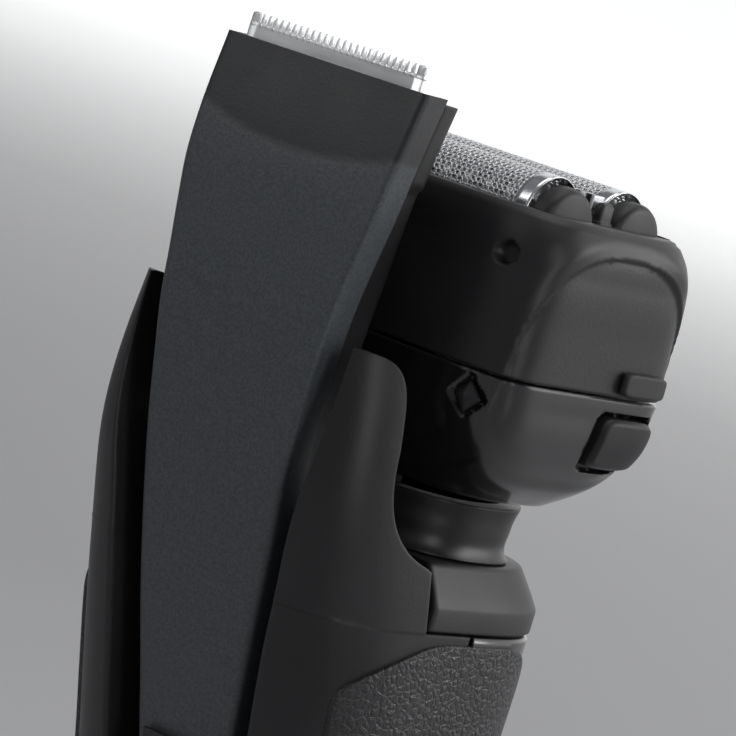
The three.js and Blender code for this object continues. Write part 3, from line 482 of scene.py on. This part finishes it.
# Pillow-edged release buttons and tabs, following the curve of the head's side.
def buildReleases():
    cradle = (cradleStations, levels["headBottom"], levels["seam"] - levels["headBottom"])
    upper = (frameStations, levels["seam"] + 0.3, levels["frameTop"] - levels["seam"] - 0.3)
    for kind, skin, thick, body in (("button", cradle, 1.5, "release_"), ("tab", upper, 0.0, "foil_unit")):
        for side, sign in (("left", -1), ("right", 1)):
            node = "release_" + kind + "_" + side
            low, high = (np.array(corner) * 1000 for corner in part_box(node))
            grid = np.sin(np.linspace(-math.pi / 2, math.pi / 2, 60))
            rows = []
            for v in np.sin(np.linspace(-math.pi / 2 + 0.03, math.pi / 2 - 0.03, 44)):
                narrow = (1 - abs(v) ** 6) ** (1 / 6)
                y = (low[1] + high[1]) / 2 + (high[1] - low[1]) / 2 * narrow * grid
                z = (low[2] + high[2]) / 2 + (high[2] - low[2]) / 2 * v
                edge = (np.abs(grid) ** 10 + abs(v) ** 6) ** 0.5
                proud = 0.75 - 0.7 * smoothStep(edge, 0.6, 1.05)
                x = headSideX(*skin, y, z, 0.0) + proud
                inside = headSideX(*skin, y, z, 0.0) - thick + (0.02 if kind == "tab" else 0)
                outer = np.column_stack([x * sign, y, np.full(60, z)])
                inner = np.column_stack([inside * sign, y, np.full(60, z)])
                rows.append(np.vstack([outer, inner[::-1]]))
            makePiece("release" + kind.title() + side.title(), *trayShape(rows), finishes["satin_black"],
                      body + side if kind == "button" else body, [node], "satin_black")



# Trimmer: cover, frame, comb and cutter.
trimmer = {"length": 100.0, "tailRadius": 7.0, "coverDepth": 4.4, "skin": 1.0, "faceY": -38.05}
# distance below the top, half width, inset of the face, thickness
trimmerStations = [[0, 16.75, 2.3, 9.2], [10, 16.4, 0.7, 9.2], [16, 16, 0.15, 9.6], [22, 15.1, 0, 10.4],
                   [28, 14.2, 0.05, 11], [34, 13.6, 0.35, 11], [41, 12.8, 1.3, 11], [49, 12.1, 2.8, 11],
                   [60, 11.2, 5.6, 11], [72, 9.9, 8.8, 10.6], [85, 8.4, 12.7, 9.4], [100, 7, 16.9, 8],
                   [115, 7, 19.5, 8], [135, 7, 22.4, 8], [170.2, 7, 26.6, 8]]


def trimmerAt(z):
    drop = levels["trimmerTop"] - z
    halfWidth, inset, thickness = np.moveaxis(throughStations(trimmerStations, drop), -1, 0)
    return halfWidth, trimmer["faceY"] + inset, thickness


# The half width, closed in by a half circle at the tail.
def tailNarrowing(z, halfWidth, grow=0.0):
    centre = levels["trimmerTop"] - trimmer["length"] + trimmer["tailRadius"]
    reach = trimmer["tailRadius"] + grow
    below = np.clip((centre - z) / reach, 0, 1)
    return np.where(z < centre, reach * np.sqrt(np.maximum(1 - below**2, 0.0004)), halfWidth)


def trimmerLevels(top):
    tail = levels["trimmerTop"] - trimmer["length"]
    curve = trimmer["tailRadius"] * (1 - np.cos(np.linspace(0.03, math.pi / 2, 26)))
    return np.concatenate([tail + curve, np.linspace(tail + trimmer["tailRadius"] + 0.7, top, 130)])


# A tray section: round-edged face and sides outside, the hollow inside.
def coverOutline(z):
    halfWidth, faceY, _ = trimmerAt(z)
    w = float(tailNarrowing(z, halfWidth))

    depth = trimmer["coverDepth"]
    skin = min(trimmer["skin"], w * 0.45)
    corner = min(0.9, w * 0.4)
    angles = np.linspace(0, math.pi / 2, 7)
    side = np.linspace(depth, corner, 8)
    across = np.linspace(w - corner, -(w - corner), 61)
    x = np.concatenate([np.full(8, w), w - corner + corner * np.cos(angles)[1:-1], across])
    y = np.concatenate([side, corner - corner * np.sin(angles)[1:-1], np.zeros(61)])
    leftX = np.concatenate([-(w - corner) - corner * np.sin(angles)[1:-1], np.full(8, -w)])
    leftY = np.concatenate([corner - corner * np.cos(angles)[1:-1], side[::-1]])
    outer = np.stack([np.concatenate([x, leftX]), np.concatenate([y, leftY])], 1)
    edgeDrop = levels["trimmerTop"] - z
    boundary = 11.8 - 2.9 * (np.abs(outer[:, 0]) / 16.5) ** 2
    outer[:, 1] += 0.05 * (1 - smoothStep(edgeDrop, boundary - 0.25, boundary + 0.25)) * (outer[:, 1] < 0.4)
    outer[:, 1] += faceY
    inner = np.stack([outer[:, 0] * (w - skin) / w, np.maximum(outer[:, 1], faceY + trimmer["skin"])], 1)
    inner[:, 1] = np.minimum(inner[:, 1], faceY + depth)
    return np.vstack([outer, inner[::-1]])


def trayShape(rows):
    rows = np.asarray(rows)
    count = rows.shape[1]
    half = count // 2
    faces = gridFaces(len(rows), count).tolist()
    for start in (0, (len(rows) - 1) * count):
        k = np.arange(half - 1)
        across = [start + k, start + k + 1, start + count - 2 - k, start + count - 1 - k]
        faces += np.stack(across, 1).tolist()
    return rows.reshape(-1, 3), faces


# The dark body behind the cover: rounded at the back, with a small ledge below the head.
def frameOutline(z):
    halfWidth, faceY, thickness = trimmerAt(z)
    step = 0.5 + 0.6 * (1 - smoothStep(z, levels["trimmerTop"] - 12.2, levels["trimmerTop"] - 11.8))
    w = max(float(tailNarrowing(z, halfWidth)) - step, 0.2)
    front, back = faceY + trimmer["coverDepth"] + 0.3, faceY + thickness
    chamfer = min(1.3, w * 0.4, (back - front) * 0.4)
    corners = np.array([[w, front], [w, back - chamfer], [w - chamfer, back], [-w + chamfer, back],
                        [-w, back - chamfer], [-w, front]])
    return softened(evenly(corners, 160), 3)


# A plate with slim round-tipped teeth along its top, each tooth a short tapering bar.
def toothedShape(halfWidth, depthFrom, depthTo, bottom, plateTop, tip, count, endTab):
    shapes = []
    middle, thick = (depthFrom + depthTo) / 2, (depthTo - depthFrom) / 2

    def bar(x, halfX, z0, z1, taper, power=4):
        heights = np.array([0, 0.45, 0.75, 0.9, 0.97, 1.0])
        shrink = np.array([1, 1 - taper * 0.3, 1 - taper * 0.6, 1 - taper, 0.7 - taper * 0.4, 0.3])
        rows = [withZ(roundedSquare(halfX * s, middle - thick * s, middle + thick * s, power, 20) + [x, 0],
                      z0 + (z1 - z0) * h) for h, s in zip(heights, shrink)]
        shapes.append(barShape(rows))

    plate = [withZ(roundedSquare(halfWidth - inset, middle - thick + inset, middle + thick - inset,
                                 12, 200), z)
             for z, inset in [(bottom, 0.1), (bottom + 0.1, 0), (plateTop - 0.15, 0), (plateTop, 0.12)]]
    shapes.append(barShape(plate))
    reach = halfWidth - endTab
    pitch = 2 * reach / count
    for i in range(count):
        bar(-reach + pitch * (i + 0.5), pitch * 0.24, plateTop - 0.4, tip, 0.35)
    if endTab:
        for side in (-1, 1):
            bar(side * (halfWidth - endTab / 2), endTab / 2, plateTop - 0.4, tip, 0.08)
    return joined(shapes)


def buildTrimmer():
    coverLevels = trimmerLevels(levels["trimmerTop"])
    rows = [withZ(coverOutline(z), z) for z in coverLevels]
    cover = makePiece("trimmerCover", *trayShape(rows), finishes["textured_grey"], "trimmer",
                      ["trimmer_cover"],
                      "textured_grey")
    # Painted shade mask: 1 on the upper slope above the face's arc, fading to 0 below it, darkening that
    # slope's colour as if it were turned away from the light.
    points = np.asarray(rows).reshape(-1, 3)
    drop = levels["trimmerTop"] - points[:, 2] + 2.6 * (points[:, 0] / 16.5) ** 2
    shade = cover.data.attributes.new("facetPaintedShade", "FLOAT", "POINT")
    shade.data.foreach_set("value", (1 - smoothStep(drop, 11.0, 11.9)).astype(np.float32))
    bodyLevels = trimmerLevels(levels["trimmerTop"] - 0.8)
    rows = [withZ(frameOutline(z), z) for z in bodyLevels]
    makePiece("trimmerBody", *barShape(rows), finishes["satin_black"], "trimmer", ["trimmer_frame"],
              "satin_black")
    low, high = (np.array(corner) * 1000 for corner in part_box("trimmer_comb"))
    shape = toothedShape(high[0], low[1], high[1], low[2], high[2] - 1.3, high[2], 25, 1.4)
    makePiece("combPlate", *shape, finishes["steel"], "trimmer", ["trimmer_comb"], "steel")
    low, high = (np.array(corner) * 1000 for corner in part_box("trimmer_cutter"))
    shape = toothedShape(high[0], low[1], high[1], low[2], high[2] - 1.3, high[2], 22, 0)
    makePiece("cutterPlate", *shape, finishes["steel"], "trimmer_drive", ["trimmer_cutter"], "steel")


buildTrimmer()
print("stage: trimmer done")


# Handle: rear housing with its channel and ears, front housing, grips, collar, boot.
handle = {
    "base": 7.3,
    "halfWidth": 24.5,
    "front": 18.65,
    "wall": 2.0,
    "rimRise": 2.5,
    "travelDown": 29.88,
    "travelForward": 2.69,
    "channelGap": 0.5,
    "shoulderY": -13.4,
    "earFrontY": -27.85,
    "buttonZ": 79.8,
    "buttonBore": 8.9,
    "displayZ": 52.5,
}
# height, narrowing of each side, inset of the front, squareness
handleStations = [[0, 4, 2.6, 3], [42, 2.9, 1.2, 3], [63, 1.6, 0.4, 3.2], [89.25, 0.2, 0, 3.6],
                  [105, 0, 0.4, 4], [113.3, 0.2, 0.8, 4.4], [130.2, 1.4, 1.5, 5], [139.2, 2.8, 2, 5]]


def bezier(p0, p1, p2, p3, count=24):
    t = np.linspace(0, 1, count)[:, None]
    p0, p1, p2, p3 = (np.asarray(p, float) for p in (p0, p1, p2, p3))
    return (1 - t) ** 3 * p0 + 3 * (1 - t) ** 2 * t * p1 + 3 * (1 - t) * t**2 * p2 + t**3 * p3


# Front edge of the rear housing in y at a level: the seam, the shoulder, then up the ear.
def earFront(z):
    ear, tip, top = handle["earFrontY"], levels["earTip"], levels["collarTop"]
    shoulder = handle["shoulderY"]
    path = np.vstack([
        bezier((shoulder - 2.5, top - 0.4), (ear + 3.2, top + 1.5), (ear, top + 6), (ear, top + 14)),
        bezier((ear - 0.5, tip - 6), (ear - 1, tip - 1.5), (ear - 3, tip), (trimmer["faceY"] + 3.2, tip)),
    ])
    curved = np.interp(z, path[:, 1], path[:, 0])
    straight = shoulder - 2.5 * (z - levels["handleHeight"]) / (top - 0.4 - levels["handleHeight"])
    seam = levels["splitY"] - 0.15
    return np.where(z < levels["handleHeight"], seam, np.where(z < top - 0.4, straight, curved))


def earBack(z):
    tip, face = levels["earTip"], trimmer["faceY"]
    path = bezier((face - 8, tip - 4), (face - 1, tip - 1), (face + 1, tip), (face + 3.2, tip))
    return np.interp(z, path[:, 1], path[:, 0], left=-99)


def rimY(z):
    fade = smoothStep(z, levels["collarTop"], levels["earTip"])
    return trimmerAt(z)[1] - handle["rimRise"] * (1 - fade)


# Half width, middle y, half depth and squareness of the handle's section at a level.
def handleRing(z, outset):
    narrowing, frontInset, power = throughStations(handleStations, z)
    back, front = rimY(z) - outset, handle["front"] - frontInset + outset
    return handle["halfWidth"] - narrowing + outset, (back + front) / 2, (front - back) / 2, power


def sideX(ring, y):
    halfWidth, middle, half, power = ring
    return halfWidth * (1 - np.clip(np.abs((y - middle) / half), 0, 1) ** power) ** (1 / power)


# Half width and floor y of the channel that the trimmer slides in.
def channelAt(z):
    tail = levels["trimmerTop"] - trimmer["length"]
    lifted = np.minimum(z + handle["travelDown"], levels["trimmerTop"])
    halfWidth = trimmerAt(lifted)[0] + handle["channelGap"]
    halfWidth = float(tailNarrowing(lifted, halfWidth, handle["channelGap"]))
    share = np.linspace(0, 1, 11)
    origin = np.clip(z + handle["travelDown"] * share, tail, levels["trimmerTop"])
    _, face, thickness = trimmerAt(origin)
    floor = float(np.max(face + thickness + handle["travelForward"] * share)) + 0.6
    return (halfWidth, floor) if lifted > tail - handle["channelGap"] else (0.05, -99.0)


# The right half of the rear housing at a level: channel floor and wall, outside, then inside.
def rearSection(z):
    ring = handleRing(z, 0)
    halfWidth, middle, half, power = ring
    channelX, floor = channelAt(z)
    front, back = float(earFront(z)), float(earBack(z))
    rim = middle - half * (1 - (channelX / halfWidth) ** power) ** (1 / power)
    rim = max(rim, back)
    floor = max(floor, rim + 0.02)
    front = max(front, rim + 0.03)
    solid = z >= levels["handleHeight"]
    bridged = floor < front - 0.05
    startX = 0.0 if bridged else channelX
    startY = floor if bridged else front
    base = np.column_stack([np.linspace(startX, channelX, 24), np.full(24, startY)])
    side = np.column_stack([np.full(24, channelX), np.linspace(startY, rim, 25)[1:]])
    turn = np.linspace(-math.pi / 2, math.pi / 2, 900)
    x = np.abs(np.cos(turn)) ** (2 / power) * halfWidth
    y = middle + np.sign(np.sin(turn)) * np.abs(np.sin(turn)) ** (2 / power) * half
    kept = (x >= channelX) & (y <= front)
    arc = np.column_stack([x[kept], np.maximum(y[kept], back)])
    arc = np.vstack([[channelX, rim], arc, [float(sideX(ring, front)), front]])
    outside = evenly(arc, 90, closed=False)[1:]
    end = outside[-1]
    if solid:
        share = np.linspace(0, 1, 61)[1:, None]
        inside = end + share * (np.array([0.0 if bridged else channelX, front]) - end)
    else:
        thin = handle["wall"]
        inner = np.column_stack([np.maximum(outside[::-1, 0] - thin, 0),
                                 np.minimum(outside[::-1, 1] + thin, front)])
        nearChannel = inner[:, 0] < channelX + thin
        inner[nearChannel, 1] = np.maximum(inner[nearChannel, 1], floor + thin)
        inner = np.vstack([inner, [0, max(floor + thin, inner[-1, 1])]])
        inside = evenly(inner, 60, closed=False)
    outline = np.vstack([base, side, outside, inside])
    pinned = (outline[:, 0] < 0.4) | (np.arange(len(outline)) < 3)
    return softened(outline, 3, pinned)


def mirroredShape(vertices, faces):
    flipped = np.asarray(vertices) * [-1, 1, 1]
    return flipped, [list(reversed(face)) for face in faces]


def frontRow(z, inset):
    ring = handleRing(z, -inset)
    halfWidth, middle, half, power = ring
    turn = np.linspace(-math.pi / 2, math.pi * 1.5, 2400)
    x = np.sign(np.cos(turn)) * np.abs(np.cos(turn)) ** (2 / power) * halfWidth
    y = middle + np.sign(np.sin(turn)) * np.abs(np.sin(turn)) ** (2 / power) * half
    kept = y >= levels["splitY"] + 0.15
    return withZ(evenly(np.column_stack([x[kept], y[kept]]), 170, closed=False), z)


# Where the front skin is set back for the button's ring and the display window.
def frontPocket(points):
    ring = np.hypot(points[:, 0], points[:, 2] - handle["buttonZ"]) / (handle["buttonBore"] + 0.25)
    upWindow = (points[:, 2] - handle["displayZ"]) / 9.5
    window = (np.abs(points[:, 0] / 5.5) ** 8 + np.abs(upWindow) ** 8) ** 0.125
    reach = np.minimum(ring, window)
    return 4.5 * (1 - smoothStep(reach, 0.96, 1.0)) * (points[:, 1] > 10)


buildHead()
buildReleases()
print("stage: head done")


def buildHousings():
    low, shelf, tip = handle["base"], levels["handleHeight"], levels["earTip"]
    heights = np.concatenate([np.linspace(low, shelf - 0.32, 150), [shelf - 0.31, shelf - 0.3],
                              np.linspace(shelf - 0.29, tip - 1.2, 74)[1:],
                              tip - 1.2 * np.linspace(1, 0.02, 12)[1:] ** 2])
    rows = [withZ(rearSection(z if z < shelf - 0.3 else max(z, shelf)), z) for z in heights]
    right = barShape(rows)
    makePiece("rearHousing", *joined([right, mirroredShape(*right)]), finishes["satin_black"], "handle",
              ["rear_housing"], "satin_black")

    rows = []
    for z in np.concatenate([[low], np.linspace(low + 0.3, shelf - 0.8, 190), [shelf - 0.4]]):
        edge = 0.3 if z in (low, shelf - 0.4) else 0.0
        outer, inner = frontRow(z, edge), frontRow(z, handle["wall"])
        outer[:, 1] -= frontPocket(outer)
        inner[:, 1] -= frontPocket(inner)
        rows.append(np.vstack([outer, inner[::-1]]))
    makePiece("frontHousing", *trayShape(rows), finishes["gloss_black"], "handle", ["front_housing"],
              "gloss_black")


grip = {
    "bottom": 27.0,
    "belowCollar": 1.4,
    "fromRim": 5.2,
    "fromFront": 5.0,
    "cornerLean": 11.0,
    "proud": 0.5,
    "lipDrop": 0.55,
    "set": 1.1,
}


# Leather-grained side pads: the handle's side at each level, standing proud, with a rolled edge.
def buildGrips():
    low, high = grip["bottom"], levels["handleHeight"] - grip["belowCollar"]
    rows = []
    across = np.sin(np.linspace(-math.pi / 2, math.pi / 2, 70))
    for v in np.sin(np.linspace(-math.pi / 2 + 0.02, math.pi / 2 - 0.02, 120)):
        z = (low + high) / 2 + (high - low) / 2 * v
        narrow = (1 - abs(v) ** 9) ** (1 / 5)
        back, front = float(rimY(z)) + grip["fromRim"], handle["front"] - grip["fromFront"]
        lean = grip["cornerLean"] * smoothStep(v, 0.74, 1.02) ** 1.5
        y = (back + lean + front) / 2 + (front - back - lean) / 2 * narrow * across
        edge = smoothStep(np.maximum(np.abs(across), abs(v)), 0.9985, 1.0)
        lip = grip["proud"] - grip["lipDrop"] * edge
        outer = np.column_stack([sideX(handleRing(z, lip), y), y])
        inner = np.column_stack([sideX(handleRing(z, -grip["set"]), y), y])
        rows.append(withZ(np.vstack([outer, inner[::-1]]), z))
    shape = trayShape(rows)
    makePiece("rightGrip", *shape, finishes["grip_rubber"], "handle", ["right_grip"], "grip_rubber")
    makePiece("leftGrip", *mirroredShape(*shape), finishes["grip_rubber"], "handle", ["left_grip"],
              "grip_rubber")


def buildNeck():
    narrowing, frontInset, power = throughStations(handleStations, levels["handleHeight"])
    back = float(rimY(levels["handleHeight"]))
    bottom, band, top = levels["handleHeight"], levels["handleHeight"] + 3.3, levels["collarTop"]
    bore = [roundedSquare(18, -13.1, 11.3, 2, 320)]

    def collarRow(z, inset):
        front = handle["front"] - frontInset - inset
        outline = roundedSquare(handle["halfWidth"] - narrowing - inset, back, front, power, 1400)
        kept = outline[outline[:, 1] > handle["shoulderY"]]
        turned = np.roll(kept, -int(np.argmax(np.abs(np.diff(kept[:, 0])))) - 1, 0)
        sides = np.vstack([turned, turned[:1]])
        return withZ(softened(evenly(sides, 320), 2), z)

    first = collarRow(bottom, 0.25)
    start = int(np.argmax(first[:, 0] - np.abs(first[:, 1])))
    rows = [np.roll(collarRow(z, inset), -start, 0) for z, inset in [
        (bottom, 0.25), (bottom + 0.25, 0), (band - 0.25, 0), (band + 0.1, 0.1), (band + 1.6, 0.9),
        (top - 0.5, 2.6), (top - 0.15, 2.85), (top, 3.2)]]
    hole = np.roll(bore[0], -int(np.argmax(bore[0][:, 0] - np.abs(bore[0][:, 1]))), 0)
    rows += [withZ(hole, z) for z in (top, top - 0.4, (top + bottom) / 2, bottom)]
    ringPiece("collar", rows, finishes["satin_black"], "handle", ["collar"], "satin_black")

    low, high = levels["collarTop"] + 0.3, levels["headBottom"] - 1.3
    share = np.linspace(0, 1, 40)
    ribs = 0.05 * (1 - np.cos(share * 4 * math.pi))
    grow = -0.4 - 0.75 * np.sin(math.pi * share**0.6) - ribs - 0.3 * share
    centre = levels["headY"] + 1.5
    rows = [withZ(roundedSquare(21 + g, centre - 15.2 - g, centre + 15.2 + g, 2.6, 300),
                  low + (high - low) * s)
            for s, g in zip(share, grow)]
    rows += [withZ(roundedSquare(17.6, centre - 11.8, centre + 11.8, 2.6, 300), low + (high - low) * s)
             for s in (1, 0.66, 0.33, 0)]
    ringPiece("neckBoot", rows, finishes["seal_rubber"], "handle", ["neck_boot"], "seal_rubber")


buildHousings()
buildGrips()
buildNeck()
print("stage: handle done")


# Foils and their end caps.
foil = {"halfLength": 21.5, "radius": 5.7, "skin": 0.12, "band": 2.4, "pitch": 0.86, "holeShare": 0.33}


# An arched sheet of hexagonal cells, each a ring of six four-sided faces round a hole.
# A point at distance s along the arch is (centre + r sin(s/r), top - r + r cos(s/r)); beyond the
# half circle it runs straight down the legs.
def perforatedShape(centreY, legBottom):
    centreZ = levels["foilTop"] - foil["radius"]
    leg = centreZ - legBottom
    quarter = foil["radius"] * math.pi / 2
    reach = quarter + leg
    perforated = quarter + 0.6
    columns = int((foil["halfLength"] - foil["band"]) * 2 / foil["pitch"])
    stepX = (foil["halfLength"] - foil["band"]) * 2 / columns
    rowCount = int(2 * perforated / (stepX * 0.75)) // 2 * 2
    stepS = 2 * perforated / rowCount
    column, row = np.meshgrid(np.arange(columns), np.arange(rowCount), indexing="ij")
    left = -foil["halfLength"] + foil["band"] + column.ravel() * stepX
    low = -perforated + row.ravel() * stepS
    angles = np.arange(8) * math.pi / 4 + math.pi / 8
    border = np.array([[1, 0.41], [0.41, 1], [-0.41, 1], [-1, 0.41],
                       [-1, -0.41], [-0.41, -1], [0.41, -1], [1, -0.41]])
    hole = np.stack([np.cos(angles), np.sin(angles)], 1) * foil["holeShare"] * 2
    shift = np.where(row.ravel() % 2 == 0, 0.22, -0.22)[:, None]
    outer = np.stack([left[:, None] + stepX / 2 * (1 + border[:, 0]),
                      low[:, None] + stepS / 2 * (1 + border[:, 1])], -1)
    inner = np.stack([left[:, None] + stepX / 2 * (1 + hole[:, 0] + shift),
                      low[:, None] + stepS / 2 * (1 + hole[:, 1])], -1)
    corners = np.array([[1, 1], [-1, 1], [-1, -1], [1, -1]])
    extra = np.stack([left[:, None] + stepX / 2 * (1 + corners[:, 0]),
                      low[:, None] + stepS / 2 * (1 + corners[:, 1])], -1)
    flat = np.concatenate([outer, inner, extra], 1)
    start = np.arange(len(flat))[:, None] * 20
    k = np.arange(8)
    following = (k + 1) % 8
    quads = np.stack([k, following, 8 + following, 8 + k], 1)
    triangles = np.array([[0, 16, 1], [2, 17, 3], [4, 18, 5], [6, 19, 7]])
    faces = (start[:, None] + quads).reshape(-1, 4).tolist()
    faces += (start[:, None] + triangles).reshape(-1, 3).tolist()
    points = flat.reshape(-1, 2)

    def strip(x0, x1, s0, s1, xCount, sCount):
        x, s = np.meshgrid(np.linspace(x0, x1, xCount), np.linspace(s0, s1, sCount), indexing="ij")
        return np.stack([x.ravel(), s.ravel()], 1), gridFaces(xCount, sCount, closedAround=False).tolist()

    half, inside = foil["halfLength"], foil["halfLength"] - foil["band"]
    strips = [strip(-half, -inside, -reach, reach, 5, 60), strip(inside, half, -reach, reach, 5, 60),
              strip(-inside, inside, perforated, reach, 40, 6),
              strip(-inside, inside, -reach, -perforated, 40, 6)]
    sheets = [(points, faces)] + strips
    points, faces = joined(sheets)
    x, s = points[:, 0], points[:, 1]

    def wrapped(radius):
        bent = np.clip(s, -quarter, quarter) / foil["radius"]
        y = radius * np.sin(bent)
        z = centreZ + radius * np.cos(bent) - np.maximum(np.abs(s) - quarter, 0)
        return np.stack([x, centreY + y, z], 1)

    return wrapped(foil["radius"]), faces


# An arched end cap with a rounded outer face, as outlines stacked along X.
def capShape(x0, x1, centreY, radius, legBottom, rise):
    centreZ = rise - radius
    angles = np.linspace(0, math.pi, 60)
    arch = np.stack([radius * np.cos(angles), centreZ + radius * np.sin(angles)], 1)
    arch = np.vstack([[radius, legBottom], arch, [-radius, legBottom]])
    outline = evenly(arch, 160)
    middle = np.array([0, centreZ])
    rows = []
    for share, shrink in [(0, 0.97), (0.06, 1), (0.5, 1), (0.72, 0.985), (0.88, 0.94),
                          (0.96, 0.88), (1, 0.8)]:
        section = middle + (outline - middle) * shrink
        section[:, 1] = np.maximum(section[:, 1], legBottom)
        x = np.full(len(section), x0 + (x1 - x0) * share)
        rows.append(np.column_stack([x, section[:, 0] + centreY, section[:, 1]]))
    return barShape(rows)


def buildFoils():
    for place in ("rear", "front"):
        low, high = (np.array(corner) * 1000 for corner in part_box(place + "_foil"))
        centreY = (low[1] + high[1]) / 2
        vertices, faces = perforatedShape(centreY, low[2])
        piece = makePiece(place + "FoilSheet", vertices, faces, finishes["foil_steel"], place + "_foil_unit",
                          [place + "_foil"], "foil_steel")
        skin = piece.modifiers.new("sheet", "SOLIDIFY")
        skin.thickness = foil["skin"] * millimetre
        skin.offset = -1
        for side in ("left", "right"):
            node = place + "_foil_cap_" + side
            low, high = (np.array(corner) * 1000 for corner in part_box(node))
            x0, x1 = (low[0], high[0]) if side == "right" else (high[0], low[0])
            shape = capShape(x0, x1, centreY, (high[1] - low[1]) / 2, low[2], high[2])
            makePiece(place + "Cap" + side.title(), *shape, finishes["satin_black"],
                      place + "_foil_unit", [node],
                      "satin_black")


# Low end caps beside the slit trimmer, each with a step part of the way up.
def buildSlitCaps():
    for side in ("left", "right"):
        low, high = (np.array(corner) * 1000 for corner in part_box("slit_cap_" + side))
        middle, half, tall = (low + high) / 2, (high - low) / 2, high[2] - low[2]
        rows = [withZ(roundedSquare(half[0] - inset, -half[1] + inset, half[1] - inset, 6, 80)
                      + middle[:2], low[2] + tall * s)
                for s, inset in [(0, 0.1), (0.1, 0), (0.55, 0), (0.6, 0.25), (0.92, 0.28),
                                 (0.98, 0.45), (1, 0.7)]]
        makePiece("slitCap" + side.title(), *barShape(rows), finishes["satin_black"], "foil_unit",
                  ["slit_cap_" + side], "satin_black")


buildFoils()
buildSlitCaps()
print("stage: foils done")


studio = {
    "target": (0, -0.009, 0.133),
    "azimuth": 37,
    "distance": 0.52,
    "roll": 16.8,
    "eyeHeight": 0.187,
    "sensor": 36,
    "focusRatio": 4004 / 736,
    "clipEnd": 50,
    # Strength of the floor's painted glow.
    "floorGlow": 0.62,
    "worldStrength": 0.2,
}


# A camera at the given azimuth and distance, a pale floor that curves up behind with painted light (grey in
# front brightening to white behind, and glowing by the same amount), and soft lights.
def buildStage():
    target = Vector(studio["target"])
    azimuth, distance = math.radians(studio["azimuth"]), studio["distance"]
    roll = math.radians(studio["roll"])
    height = studio["eyeHeight"] - target.z
    flat = math.sqrt(distance**2 - height**2)
    place = target + Vector((flat * math.sin(azimuth), -flat * math.cos(azimuth), height))
    camera = bpy.data.objects.new("camera", bpy.data.cameras.new("camera"))
    camera.data.sensor_width = studio["sensor"]
    camera.data.lens = studio["focusRatio"] * studio["sensor"]
    camera.data.clip_end = studio["clipEnd"]
    forward = (target - place).normalized()
    right = forward.cross(Vector((0, 0, 1))).normalized()
    up = right.cross(forward)
    across = right * math.cos(roll) + up * math.sin(roll)
    above = -right * math.sin(roll) + up * math.cos(roll)
    turn = Matrix((across, above, -forward)).transposed().to_4x4()
    camera.matrix_world = Matrix.Translation(place) @ turn
    bpy.context.scene.collection.objects.link(camera)
    bpy.context.scene.camera = camera

    material, nodes, links, shader = newMaterial("paleFloor")
    coordinates = nodes.new("ShaderNodeTexCoord")
    parts = nodes.new("ShaderNodeSeparateXYZ")
    links.new(coordinates.outputs["Object"], parts.inputs["Vector"])
    # Painted light: the floor's colour rises from grey in front to white behind, standing in for the
    # backdrop's light falloff.
    fade = nodes.new("ShaderNodeMapRange")
    fade.inputs["From Min"].default_value = 0.4
    fade.inputs["From Max"].default_value = 3.4
    links.new(parts.outputs["Y"], fade.inputs["Value"])
    tinted(nodes, links, fade.outputs["Result"], (0.40, 0.40, 0.41), (0.95, 0.95, 0.95), shader)
    shader.inputs["Roughness"].default_value = 0.6
    shader.inputs["Emission Color"].default_value = (1, 1, 1, 1)
    # Painted light: the floor also glows along the same ramp, though it is no lamp.
    glow = nodes.new("ShaderNodeMath")
    glow.operation = "MULTIPLY"
    glow.inputs[1].default_value = studio["floorGlow"]
    links.new(fade.outputs["Result"], glow.inputs[0])
    links.new(glow.outputs[0], shader.inputs["Emission Strength"])
    bend = np.linspace(0.05, 1.57, 24)
    run = np.concatenate([np.linspace(-6, 4, 30), 4 + 2 * np.sin(bend), np.full(10, 6.0)])
    rise = np.concatenate([np.zeros(30), 2 - 2 * np.cos(bend), np.linspace(2.2, 8, 10)])
    x = np.linspace(-8, 8, 12)
    points = np.stack([np.repeat(x[None, :], len(run), 0), np.repeat(run[:, None], len(x), 1),
                       np.repeat(rise[:, None], len(x), 1)], -1).reshape(-1, 3)
    mesh = bpy.data.meshes.new("floor")
    mesh.from_pydata(points.tolist(), [], gridFaces(len(run), len(x), closedAround=False).tolist())
    mesh.shade_smooth()
    mesh.materials.append(material)
    floor = bpy.data.objects.new("floor", mesh)
    floor.location = (0, 0, -0.0002)
    bpy.context.scene.collection.objects.link(floor)

    def softLight(name, place, power, size, sizeY=None):
        light = bpy.data.objects.new(name, bpy.data.lights.new(name, "AREA"))
        light.data.energy = power
        light.data.size = size
        if sizeY:
            light.data.shape = "RECTANGLE"
            light.data.size_y = sizeY
        light.location = place
        light.rotation_mode = "QUATERNION"
        light.rotation_quaternion = (Vector((0, 0, 0.12)) - Vector(place)).to_track_quat("-Z", "Y")
        bpy.context.scene.collection.objects.link(light)

    softLight("keySoft", (-0.5, -0.9, 0.75), 3.2, 0.5, 0.7)
    softLight("sideStrip", (0.95, -0.25, 0.28), 2.6, 0.25, 0.8)
    softLight("rearStrip", (0.7, 0.75, 0.5), 4, 0.4, 0.6)
    softLight("topSoft", (0.0, 0.1, 1.1), 3, 0.7)
    world = bpy.data.worlds.new("studio")
    world.use_nodes = True
    world.node_tree.nodes["Background"].inputs["Color"].default_value = (0.9, 0.92, 0.95, 1)
    world.node_tree.nodes["Background"].inputs["Strength"].default_value = studio["worldStrength"]
    bpy.context.scene.world = world
    bpy.context.scene.view_settings.view_transform = "Standard"


buildStage()
print("stage: camera and light done")
